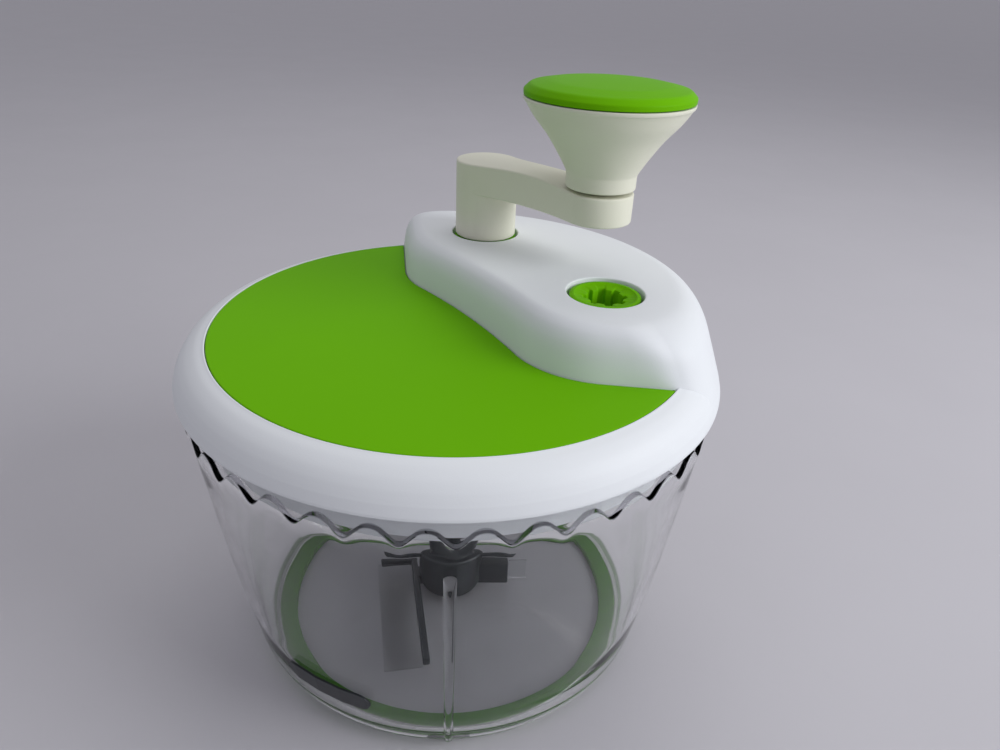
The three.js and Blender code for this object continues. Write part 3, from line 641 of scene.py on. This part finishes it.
def make_bowl():
    """Bowl wall: R(z) through the wall knots, stepped in at the wavy ledge z(a), with a half-round rib
    R + h sqrt(1 - (2 s / w)^2) at the front, and the same wall inside. The ledge is ledge_height."""
    s = sizes()
    angle = np.unique(np.concatenate([
        np.linspace(0, TAU, WAVES * 16, endpoint=False),
        FRONT + np.radians(np.linspace(-1.4, 1.4, 29)),
    ]))
    around = (angle - WAVE_START) * WAVES
    ledge = ledge_height(np.cos(around), np.cos(2 * around))
    knots = [(70.6, 0.8), (72.6, 4), (75.6, 10.5), (77.4, 20), (80.3, 37), (82.9, 57), (85.6, 80), (87.6, 97)]
    wall = smooth_line(mm(*knots), 55)
    neck = BOWL_RIM - s.bowl_wall
    floor_top = ROTOR_BOTTOM - 0.3 * MM
    floor_bottom = floor_top - s.bowl_wall
    ring_edge = RING_RADIUS + 0.3 * MM

    def rib(radius, height):
        width = s.rib_width * (0.72 + 0.28 * height / (90 * MM))
        across = (angle - FRONT) * radius / (width / 2)
        fade = np.clip((88.5 * MM - height) / (1.2 * MM), 0, 1)
        return 1.1 * MM * np.sqrt(np.clip(1 - across**2, 0, 1)) * math.sqrt(fade)

    underside = rounded([
        (0.5 * ring_edge, floor_bottom), (ring_edge, floor_bottom, 0.5 * MM),
        (ring_edge, FOOT_BOTTOM, 0.4 * MM), (FOOT_RADIUS, FOOT_BOTTOM)], 4)[:-1]
    ledge_edge = [(88.2, -0.9), (88.4, -0.45), (88.3, -0.12), (88.0, 0), (87.3, 0.02), (87.0, 0.15)]
    rim = rounded([
        (BOWL_RIM, 108 * MM), (BOWL_RIM, BOWL_TOP, 1 * MM), (neck, BOWL_TOP, 1 * MM), (neck, 104 * MM)], 5)
    inner = np.array([(r - s.bowl_wall, z) for r, z in wall if z > floor_top + 8 * MM])[::-1]
    corner = inner[-1][0]
    inside = smooth_line(np.vstack([
        [(neck, 103.9 * MM), (neck, 101 * MM)], inner[::6],
        [(corner - 2.4 * MM, floor_top + 3 * MM), (corner - 6.2 * MM, floor_top + 0.7 * MM),
         (corner - 11 * MM, floor_top)]]), 48)
    boss_top = floor_top + 3 * MM
    boss = rounded([
        (30 * MM, floor_top), (5 * MM, floor_top, 0.8 * MM), (5 * MM, boss_top, 0.5 * MM),
        (PIN_BORE, boss_top, 0.2 * MM), (PIN_BORE, floor_top), (0, floor_top)], 4)
    rows = [(0, floor_bottom), *underside]
    rows += [(r + rib(r, z), z) for r, z in wall]
    rows += [(r * MM, ledge + rise * MM) for r, rise in ledge_edge]
    rows += [(BOWL_RIM, ledge + 0.5 * MM), *rim, *inside, *boss]
    shell = turned(rows, closed=False, angles=angle)
    make_piece("bowl_wall", [shell], finish_of("bowl_plastic"), "bowl_body", ["bowl"])


def make_base_ring():
    """Soft ring: a flat tube with round edges and 96 shallow pads on its underside, d (1 - cos 96 a) / 2."""
    angle = np.linspace(0, TAU, 960, endpoint=False)
    outer, inner = RING_RADIUS, RING_RADIUS - 6.8 * MM
    pads = 0.25 * MM * (0.5 - 0.5 * np.cos(96 * angle))
    outline = rounded([
        (inner, 1.2 * MM), (inner, 0, 0.5 * MM), (outer, 0, 0.5 * MM), (outer, RING_TOP, 0.4 * MM),
        (inner, RING_TOP, 0.4 * MM), (inner, 1.2 * MM)], 5)[:-1]
    rows = [(r, z + pads if z < 0.05 * MM else z) for r, z in outline]
    make_piece("base_ring", [turned(rows, angles=angle)], finish_of("green_rubber"), "bowl_body",
               ["anti_slip_ring"])


def lid_ring_profile(recess, ceiling):
    """Skirt, bead and dome of the lid's edge, then the groove for the bowl's rim and the inner skirt."""
    outer, crown, top = LID_RADIUS, sizes().crown_radius, LID_TOP
    groove = BOWL_TOP + 1.7 * MM
    skirt_inner = PLATE_RADIUS + 0.3 * MM
    skirt_outer, ledge = skirt_inner + 2.4 * MM, skirt_inner - 8 * MM
    skin = outer - 2.6 * MM
    skirt = rounded([
        (skin, LID_EDGE_BOTTOM), (outer - 0.1 * MM, LID_EDGE_BOTTOM, 0.5 * MM),
        (outer - 0.15 * MM, 110.6 * MM, MM), (outer - 0.95 * MM, 113.3 * MM)], 5)
    steps_in = [(1.05, 113.55), (1.9, 115.2), (3.0, 116.9), (4.9, 118.9), (7.6, 120.6), (10.0, 121.4)]
    dome = [(outer - d * MM, z * MM) for d, z in steps_in]
    dome = smooth_line([*dome, (crown + 0.4 * MM, top)], 40)
    inside = rounded([
        (crown + 0.4 * MM, top), (crown, top, 0.25 * MM), (crown, recess), (ledge, recess),
        (ledge, ceiling), (skirt_inner, ceiling, 0.6 * MM), (skirt_inner, SKIRT_BOTTOM, 0.6 * MM),
        (skirt_outer, SKIRT_BOTTOM, 0.6 * MM), (skirt_outer, groove, 0.4 * MM),
        (skin, groove, MM), (skin, LID_EDGE_BOTTOM)], 4)
    return np.vstack([skirt, dome, inside[1:-1]])


def housing_loops():
    """The housing's wall as rows of loops, each the S edge and an arc of the rim. Each row has its height,
    its radius on the rim's side, how far it is moved in on the leaf's side, and how far its corners and its
    nose are softened, all on one smooth line."""
    rows = smooth_line(mm(
        (113.0, 88.9, 0.0, 2.0, 1.5), (114.5, 88.8, 0.0, 2.0, 3.0), (117.0, 88.0, 0.0, 2.0, 5.5),
        (120.0, 87.0, 0.0, 2.2, 7.5), (123.0, 85.95, 0.25, 2.8, 9.0), (126.0, 84.9, 0.55, 3.6, 10.0),
        (129.0, 83.8, 0.95, 4.4, 11.0), (131.0, 82.85, 1.35, 5.0, 12.0), (132.6, 81.9, 1.85, 5.4, 13.0),
        (134.2, 80.6, 2.6, 5.9, 14.0), (135.6, 79.1, 3.6, 6.4, 15.0), (136.7, 77.3, 5.0, 6.9, 16.0),
        (137.35, 75.4, 6.5, 7.3, 17.0), (137.6, 73.2, 8.3, 7.7, 18.0)), 44)
    rows[:, 0] += HOUSING_TOP - 137.6 * MM
    rows[:, 1] += LID_RADIUS - 90.2 * MM
    loops = []
    for _, rim, inset, reach, nose_reach in rows:
        outline = evenly(rim_join(edge_curve(inset, rim), rim, 1), 900)
        loops.append(softened(outline, reach, nose_reach, rim))
    return rows[:, 0], loops


def hole_loops(radius):
    """The outlines of both socket holes."""
    return [circle(centre, radius, HOLE_STEPS) for centre in SOCKETS]


def hole_walls(profile):
    """A profile turned about both sockets."""
    return [turned(profile, HOLE_STEPS, centre, closed=False) for centre in SOCKETS]


def make_lid():
    """Lid: the edge profile turned about the axis, a flat top plate, and the gear housing, whose wall is a
    grid of loops. Near the rim a loop's lowest points rise from under the leaf to the dome."""
    s = sizes()
    recess = LID_TOP - s.leaf_thickness - 0.3 * MM
    ceiling = recess - 2.2 * MM
    heights, loops = housing_loops()
    foot, tuck = recess - 0.4 * MM, s.crown_radius + 0.7 * MM
    low_rim = heights[0] + 0.5 * MM
    foot_loop = loops[0] * np.minimum(1, tuck / np.hypot(*loops[0].T))[:, None]
    wall = [np.column_stack([foot_loop, np.full(len(foot_loop), foot)])]
    for height, loop in zip(heights, loops):
        share = eased((np.hypot(*loop.T) - tuck) / (5 * MM))
        wall.append(np.column_stack([loop, np.maximum(height, foot - (foot - low_rim) * share)]))
    hole, lip = s.hole_radius, 1.0 * MM
    mouth = rounded([(hole + lip, HOUSING_TOP), (hole, HOUSING_TOP, lip * 0.98), (hole, foot)], 8)
    housing = one_shell(
        sheet_of(wall, close_columns=True), flat_fill([loops[-1], *hole_loops(hole + lip)], HOUSING_TOP),
        flat_fill([foot_loop, *hole_loops(hole)], foot), *hole_walls(mouth))
    plate_radius = PLATE_RADIUS - 6 * MM
    plate_loops = [circle(MIDDLE, plate_radius, 256), *hole_loops(hole)]
    plate = one_shell(
        flat_fill(plate_loops, recess), flat_fill(plate_loops, ceiling),
        turned([(plate_radius, recess), (plate_radius, ceiling)], 256, closed=False),
        *hole_walls([(hole, recess), (hole, ceiling)]))
    shells = [turned(lid_ring_profile(recess, ceiling), 256), housing, plate]
    make_piece("lid_moulding", shells, finish_of("white_plastic"), "lid",
               ["lid_shell", "gear_housing"])


def make_leaf():
    """Leaf inlay: its outline, a little inside the recess, with a 0.4 mm round along the top edge."""
    s = sizes()
    gap, bottom = 0.25 * MM, LID_TOP - s.leaf_thickness
    rim = s.crown_radius - gap
    outline = evenly(rim_join(edge_curve(-gap, rim), rim, -1)[::-1], 1000)
    edge = rounded([(0, bottom), (0, LID_TOP, 0.4 * MM), (0.6 * MM, LID_TOP)], 6)
    rows = [np.column_stack([moved_in(outline, d), np.full(len(outline), z)]) for d, z in edge]
    leaf = one_shell(sheet_of(rows, close_columns=True), flat_fill([rows[-1][:, :2]], LID_TOP),
                     flat_fill([outline], bottom))
    make_piece("leaf_inlay", [leaf], finish_of("green_plastic"), "lid", ["leaf_panel"])


def spline_radius(angle, root, tip):
    """Square splines with soft sides, as a radius over the angle a of n splines:
    root + (tip - root) / (1 + e^(-9 cos n a))."""
    return root + (tip - root) / (1 + np.exp(-9 * np.cos(SPLINES * angle)))


def gear_radius(angle, teeth):
    """A tooth outline as a radius over the angle: a clipped cosine between root and tip."""
    wave = np.clip(1.5 * np.cos(teeth * angle), -1, 1)
    return teeth * GEAR_MODULE / 2 + GEAR_MODULE * np.where(wave > 0, 0.85, 1.2) * wave


def make_socket_gear(node, body, centre, teeth, gear_rise):
    """Socket gear: teeth, a tall hub, and a dished top round a splined socket."""
    angle = np.linspace(0, TAU, teeth * 24, endpoint=False)
    bottom, top, hub = low(node, Z), SOCKET_TOP, SOCKET_HUB
    gear_bottom = bottom + gear_rise
    gear_top = gear_bottom + GEAR_WIDTH
    tooth_ring = gear_radius(angle, teeth)
    mouth = spline_radius(angle, 5.8 * MM, 7.0 * MM)
    rows = [(PIN_BORE, bottom), (hub - 0.5 * MM, bottom)]
    if gear_rise > MM:
        rows += [(hub, bottom + 0.5 * MM), (hub, gear_bottom)]
    rows += [
        (tooth_ring - 0.3 * MM, gear_bottom), (tooth_ring, gear_bottom + 0.3 * MM),
        (tooth_ring, gear_top - 0.3 * MM), (tooth_ring - 0.3 * MM, gear_top),
        (hub + 0.8 * MM, gear_top), (hub, gear_top + 0.8 * MM),
        (hub, top - 0.6 * MM), (hub - 0.2 * MM, top - 0.15 * MM),
        (hub - 0.7 * MM, top), (hub - 1.4 * MM, top), (hub - 1.9 * MM, top - 0.4 * MM),
        (mouth + 0.8 * MM, top - 0.7 * MM), (mouth + 0.2 * MM, top - 0.9 * MM), (mouth, top - 1.3 * MM),
        (mouth, top - SOCKET_DEPTH), (PIN_BORE, top - SOCKET_DEPTH),
    ]
    shell = turned(rows, centre=centre, angles=angle)
    make_piece(f"{body}_socket_gear", [shell], finish_of("green_plastic"), body, [node])


def crank_outline(length, hub, waist):
    """The arm from above: a round end about each axis, and a hollow arc on each side that touches both ends
    and comes to the waist's half width between them."""
    half = length / 2
    hollow = (half**2 + waist**2 - hub**2) / (2 * (hub - waist))
    lean = math.atan2(waist + hollow, half)
    return evenly(np.vstack([
        arc((0, 0), hub, lean, TAU - lean, 90)[:-1],
        arc((half, -waist - hollow), hollow, math.pi - lean, lean, 60)[:-1],
        arc((length, 0), hub, lean - math.pi, math.pi - lean, 90)[:-1],
        arc((half, waist + hollow), hollow, -lean, lean - math.pi, 60)[:-1],
    ]), 360)


def make_crank():
    """Crank: a waisted arm whose rings shrink from its outline towards the line between hub and knob, with
    an arched back, h sin^2(pi x / l) - d (x / l)^2, then a round hub and the splined spigot under it."""
    length, hub, fillet = CRANK_LENGTH, 11.4 * MM, 1.4 * MM
    bottom, top = CRANK_TOP - 10.8 * MM, CRANK_TOP
    loop = crank_outline(length, hub, 8.0 * MM)
    spine = np.column_stack([np.clip(loop[:, 0], 0, length), np.zeros(len(loop))])
    inwards = spine - loop
    inwards /= np.linalg.norm(inwards, axis=1)[:, None]

    def ring_at(ring, height, arched):
        share = np.clip(ring[:, 0] / length, 0, 1)
        lift = 0.8 * MM * np.sin(math.pi * share) ** 2 - 1.0 * MM * share**2
        return np.column_stack([ring, height + lift * arched])

    rows = [ring_at(spine * (1 - share) + loop * share, bottom, False) for share in (0, 0.1, 0.5)]
    edge = rounded([(fillet, bottom), (0, bottom, fillet * 0.98), (0, top, fillet * 0.98), (fillet, top)], 7)
    rows += [ring_at(loop + inwards * d, z, z > (bottom + top) / 2) for d, z in edge]
    inner = loop + inwards * fillet
    rows += [ring_at(inner * (1 - share) + spine * share, top, True) for share in (0.35, 0.6, 0.85, 1.0)]
    cos, sin = direction(angle_of(KNOB - DRIVE))
    arm = np.array(rows) @ np.array([[cos, sin, 0], [-sin, cos, 0], [0, 0, 1]]) + np.array([*DRIVE, 0])
    hub_bottom = SOCKET_TOP + 0.3 * MM
    hub_shell = turned(rounded([
        (0, hub_bottom), (hub, hub_bottom, 0.6 * MM), (hub, top - 4 * MM, 0.1 * MM),
        (hub - 2 * MM, top - 2 * MM), (0, top - 2 * MM)], 5), 128, DRIVE, closed=False)
    angle = np.linspace(0, TAU, 192, endpoint=False)
    spigot = spline_radius(angle, 5.4 * MM, 6.6 * MM)
    spigot_bottom, spigot_top = hub_bottom - 14 * MM, hub_bottom + MM
    spigot_shell = turned([
        (0, spigot_bottom), (spigot - 0.6 * MM, spigot_bottom), (spigot, spigot_bottom + 0.6 * MM),
        (spigot, spigot_top), (0, spigot_top)], centre=DRIVE, angles=angle, closed=False)
    shells = [sheet_of(arm, close_columns=True), hub_shell, spigot_shell]
    make_piece("crank", shells, finish_of("ivory_plastic"), "crank", ["crank_arm"])


def make_knob():
    """Knob: collar, flared cone and rim turned about the knob's pin, and the domed cap in its mouth."""
    bottom, top, rim = KNOB_BOTTOM, KNOB_TOP, KNOB_RADIUS
    collar, bore, lip, seat = 11.6 * MM, 3.3 * MM, rim - 3 * MM, bottom + 19.5 * MM
    skin = rounded([(bore, bottom), (collar, bottom, 0.5 * MM), (collar, bottom + 4.2 * MM)], 5)
    cone = smooth_line([
        (collar, bottom + 4.2 * MM), (collar + 0.5 * MM, bottom + 5.6 * MM),
        (collar + 3.4 * MM, bottom + 10.5 * MM), (collar + 7.4 * MM, bottom + 16.4 * MM),
        (rim - 3.6 * MM, bottom + 21.6 * MM), (rim - 0.9 * MM, top - 1.9 * MM),
        (rim - 0.2 * MM, top - 1.1 * MM), (rim, top - 0.5 * MM)], 48)
    mouth = rounded([
        (rim, top - 0.5 * MM), (rim, top, 0.4 * MM), (lip, top, 0.3 * MM), (lip, top - 3.6 * MM),
        (9.5 * MM, seat, MM), (bore, seat)], 5)
    body = turned(np.vstack([skin[:-1], cone, mouth[1:]]), 160, KNOB)
    make_piece("knob", [body], finish_of("ivory_plastic"), "knob", ["knob_body"])
    foot = low("knob_cap", Z) + 3 * MM
    dome = rounded([
        (0, foot), (rim - 3.3 * MM, foot), (rim - 0.1 * MM, foot, 0.3 * MM), (rim, foot + 1.6 * MM, 0.8 * MM),
        (rim - 1.9 * MM, foot + 3.4 * MM, 2.5 * MM), (rim - 8.2 * MM, foot + 4.6 * MM, 20 * MM),
        (0, CAP_TOP)], 8)
    cap = turned(dome, 160, KNOB, closed=False)
    make_piece("knob_top", [cap], finish_of("green_plastic"), "knob", ["knob_cap"],
               smooth_angle=60)


def make_rotor():
    """Rotor: a hub with a round lower edge, a tube with a hexagonal mouth, h cos 30 / cos (a mod 60 - 30),
    the top rail, the right-hand block, the left frame, which stands at a small turn, and both clear
    paddles."""
    hub, tube, neck = 12.6 * MM, 6.5 * MM, 5.3 * MM
    bottom, shoulder, tilt = ROTOR_BOTTOM, 25 * MM, math.radians(8)
    angle = np.linspace(0, TAU, 192, endpoint=False)
    hexagon = 4.4 * MM * math.cos(math.pi / 6) / np.cos((angle % (TAU / 6)) - math.pi / 6)
    hexagon_bottom = ROTOR_TOP - 10.4 * MM
    outline = rounded([
        (neck, bottom), (hub, bottom, 6 * MM), (hub, shoulder, 1.2 * MM), (tube + 1 * MM, shoulder, MM),
        (tube, shoulder + 4 * MM, MM), (tube, ROTOR_TOP, 0.6 * MM), (4.8 * MM, ROTOR_TOP)], 8)
    rows = [*outline, (hexagon, ROTOR_TOP - 0.4 * MM), (hexagon, hexagon_bottom), (0, hexagon_bottom)]
    core = turned(rows, closed=False, angles=angle)
    bore_top, bore_foot = bottom + 17 * MM, bottom + 3.4 * MM
    inner = turned([(0, bore_top), (PIN_BORE, bore_top), (PIN_BORE, bore_foot), (neck, bore_foot),
                    (neck, bottom)], 192, closed=False)
    cos, sin = direction(tilt)

    def block(x, rise, size, radius):
        return rounded_block(mm(x, -1.5, rise) + np.array([0, 0, bottom]), mm(*size), radius * MM)

    def tilted(x, y, size, radius=0.6):
        place = mm(x * cos - y * sin, x * sin + y * cos, 3) + np.array([0, 0, bottom])
        return rounded_block(place, mm(*size), radius * MM, 5, tilt)

    rail = rounded_block(mm(0, -3, 23.2), mm(50, 2.6, 3.6), 0.6 * MM)
    left_frame = [tilted(-14.2, -16.5, (2.6, 53, 4)), tilted(-21, 8.7, (13.5, 2.6, 4)),
                  tilted(-10, 0, (8, 6, 4), 0.5)]
    shells = [one_shell(core, inner), rail, block(16.5, 6, (14, 6, 10), 0.8), *left_frame]
    make_piece("rotor_core", shells, finish_of("dark_plastic"), "rotor", ["rotor_hub"])
    front = tilted(-22.5, -18.9, (13.4, 51.8, 1.6), 0.5)
    make_piece("long_paddle", [front], finish_of("smoke_plastic"), "rotor",
               ["front_paddle"])
    side = block(27.4, 6, (7.2, 1.6, 9), 0.5)
    make_piece("short_paddle", [side], finish_of("smoke_plastic"), "rotor",
               ["side_paddle"])


def finish_hidden_pieces():
    """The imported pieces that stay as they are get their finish."""
    kept = {
        "white_plastic": ["gear_plate"],
        "dark_plastic": ["name_badge"],
        "silicone": ["lid_gasket", "shaft_seal"],
        "nylon": ["output_bush", "idler_gear", "output_gear"],
        "steel": ["drive_axle", "idler_axle", "free_axle", "output_shaft", "pivot_pin", "knob_pin",
                  "knob_washer", *(f"plate_screw_{i}" for i in range(1, 5))],
    }
    for slot, names in kept.items():
        for name in names:
            mesh = frame["nodes"][name].data
            mesh.materials.clear()
            mesh.materials.append(finish_of(slot))


# ---------------------------------------------------------------- stage


def make_floor():
    """A level table top, which runs out of sight."""
    half = 60.0
    mesh = bpy.data.meshes.new("table_top")
    corners = [(-half, -half, 0), (half, -half, 0), (half, half, 0), (-half, half, 0)]
    mesh.from_pydata(corners, [], [(0, 1, 2, 3)])
    paint = Paint("table_top", Specular_IOR_Level=0.3)
    colour = colours().floor
    base = paint.blend(paint.noise(9, 4), scaled(colour, 0.97), scaled(colour, 1.03))
    paint.set(Base_Color=base, Roughness=0.45 + paint.noise(60, 3) * 0.1)
    mesh.materials.append(paint.material)
    floor = bpy.data.objects.new("table_top", mesh)
    bpy.context.scene.collection.objects.link(floor)


def area_light(name, place, aim, size, watts, colour):
    """A round light of that size at a place, turned to what it lights."""
    light = bpy.data.lights.new(name, "AREA")
    light.shape, light.size, light.energy, light.color = "DISK", size, watts, colour
    lamp = bpy.data.objects.new(name, light)
    lamp.location = place
    lamp.rotation_euler = (Vector(aim) - Vector(place)).to_track_quat("-Z", "Y").to_euler()
    bpy.context.scene.collection.objects.link(lamp)


def make_camera():
    """A camera in front of the bowl, above it, looking down: distance, height, pan, tilt and roll."""
    distance, height, pan, tilt, roll = 0.23043, 0.22833, 0.0724, 0.5036, 0.047
    look = Vector((math.sin(pan) * math.cos(tilt), math.cos(pan) * math.cos(tilt), -math.sin(tilt)))
    level = Vector((math.cos(pan), -math.sin(pan), 0))
    upright = level.cross(look)
    right = level * math.cos(roll) + upright * math.sin(roll)
    up = upright * math.cos(roll) - level * math.sin(roll)
    data = bpy.data.cameras.new("view_camera")
    data.lens, data.sensor_width, data.clip_start = 26.87, 36.0, 10 * MM
    camera = bpy.data.objects.new("view_camera", data)
    turn = Matrix((right, up, -look)).transposed().to_4x4()
    camera.matrix_world = Matrix.Translation((0, -distance, height)) @ turn
    bpy.context.scene.collection.objects.link(camera)
    bpy.context.scene.camera = camera


def make_light():
    """A soft grey room, a window on the right and a weaker light from above and behind."""
    world = bpy.data.worlds.new("soft_room")
    world.use_nodes = True
    background = world.node_tree.nodes["Background"]
    background.inputs["Color"].default_value = (0.80, 0.79, 0.86, 1)
    background.inputs["Strength"].default_value = 0.50
    bpy.context.scene.world = world
    bpy.context.scene.view_settings.view_transform = "Standard"
    area_light("window_light", (1.0, -0.42, 0.62), (0, 0, 0.08), 0.8, 9.0, (0.97, 0.98, 1.0))
    area_light("ceiling_light", (0.2, 0.5, 1.2), (0, 0, 0.05), 0.9, 2.7, (1.0, 0.99, 0.97))


# ---------------------------------------------------------------- operators and panel


class CHOPPER_OT_add_bowl(bpy.types.Operator):
    """Adds the clear bowl with its wavy ledge and rib"""

    bl_idname = "chopper.add_bowl"
    bl_label = "Bowl"

    def execute(self, context):
        make_bowl()
        return {"FINISHED"}


class CHOPPER_OT_add_ring(bpy.types.Operator):
    """Adds the soft ring under the base"""

    bl_idname = "chopper.add_ring"
    bl_label = "Base ring"

    def execute(self, context):
        make_base_ring()
        return {"FINISHED"}


class CHOPPER_OT_add_lid(bpy.types.Operator):
    """Adds the lid with its gear housing"""

    bl_idname = "chopper.add_lid"
    bl_label = "Lid"

    def execute(self, context):
        make_lid()
        return {"FINISHED"}


class CHOPPER_OT_add_leaf(bpy.types.Operator):
    """Adds the green leaf inlay"""

    bl_idname = "chopper.add_leaf"
    bl_label = "Leaf inlay"

    def execute(self, context):
        make_leaf()
        return {"FINISHED"}


class CHOPPER_OT_add_gears(bpy.types.Operator):
    """Adds the gear under the crank and the one with the open socket"""

    bl_idname = "chopper.add_gears"
    bl_label = "Socket gears"

    def execute(self, context):
        make_socket_gear("drive_gear", "drive", DRIVE, DRIVE_TEETH, 7.2 * MM)
        make_socket_gear("free_gear", "free", FREE, FREE_TEETH, 0)
        return {"FINISHED"}


class CHOPPER_OT_add_crank(bpy.types.Operator):
    """Adds the crank with its spigot"""

    bl_idname = "chopper.add_crank"
    bl_label = "Crank"

    def execute(self, context):
        make_crank()
        return {"FINISHED"}


class CHOPPER_OT_add_knob(bpy.types.Operator):
    """Adds the flared knob and its cap"""

    bl_idname = "chopper.add_knob"
    bl_label = "Knob"

    def execute(self, context):
        make_knob()
        return {"FINISHED"}


class CHOPPER_OT_add_rotor(bpy.types.Operator):
    """Adds the mixing rotor and its paddles"""

    bl_idname = "chopper.add_rotor"
    bl_label = "Rotor"

    def execute(self, context):
        make_rotor()
        return {"FINISHED"}


class CHOPPER_OT_finish_inner(bpy.types.Operator):
    """Gives the pieces kept from the frame their finish"""

    bl_idname = "chopper.finish_inner"
    bl_label = "Inner pieces"

    def execute(self, context):
        finish_hidden_pieces()
        return {"FINISHED"}


class CHOPPER_OT_add_stage(bpy.types.Operator):
    """Adds the table top, the lights and the camera"""

    bl_idname = "chopper.add_stage"
    bl_label = "Stage"

    def execute(self, context):
        make_floor()
        make_light()
        make_camera()
        return {"FINISHED"}


OPERATORS = [
    CHOPPER_OT_add_stage, CHOPPER_OT_add_bowl, CHOPPER_OT_add_ring, CHOPPER_OT_add_lid, CHOPPER_OT_add_leaf,
    CHOPPER_OT_add_gears, CHOPPER_OT_add_crank, CHOPPER_OT_add_knob, CHOPPER_OT_add_rotor,
    CHOPPER_OT_finish_inner,
]


class CHOPPER_PT_sidebar(bpy.types.Panel):
    """Lists the pieces"""

    bl_label = "Chopper"
    bl_idname = "CHOPPER_PT_sidebar"
    bl_space_type = "VIEW_3D"
    bl_region_type = "UI"
    bl_category = "Chopper"

    def draw(self, context):
        for operator in OPERATORS:
            self.layout.operator(operator.bl_idname)
        for settings in (context.scene.chopper_sizes, context.scene.chopper_colours):
            for name in settings.__annotations__:
                self.layout.prop(settings, name)


CLASSES = [ChopperColours, ChopperSizes, *OPERATORS, CHOPPER_PT_sidebar]


def register():
    """Adds the classes, and the sizes and colours of a scene."""
    for cls in CLASSES:
        bpy.utils.register_class(cls)
    bpy.types.Scene.chopper_sizes = bpy.props.PointerProperty(type=ChopperSizes)
    bpy.types.Scene.chopper_colours = bpy.props.PointerProperty(type=ChopperColours)


def unregister():
    """Takes away what register added."""
    del bpy.types.Scene.chopper_colours
    del bpy.types.Scene.chopper_sizes
    for cls in reversed(CLASSES):
        bpy.utils.unregister_class(cls)


def main():
    """Builds the stage and every piece."""
    register()
    for operator in OPERATORS:
        getattr(bpy.ops.chopper, operator.bl_idname.split(".")[1])()


if __name__ == "__main__":
    main()
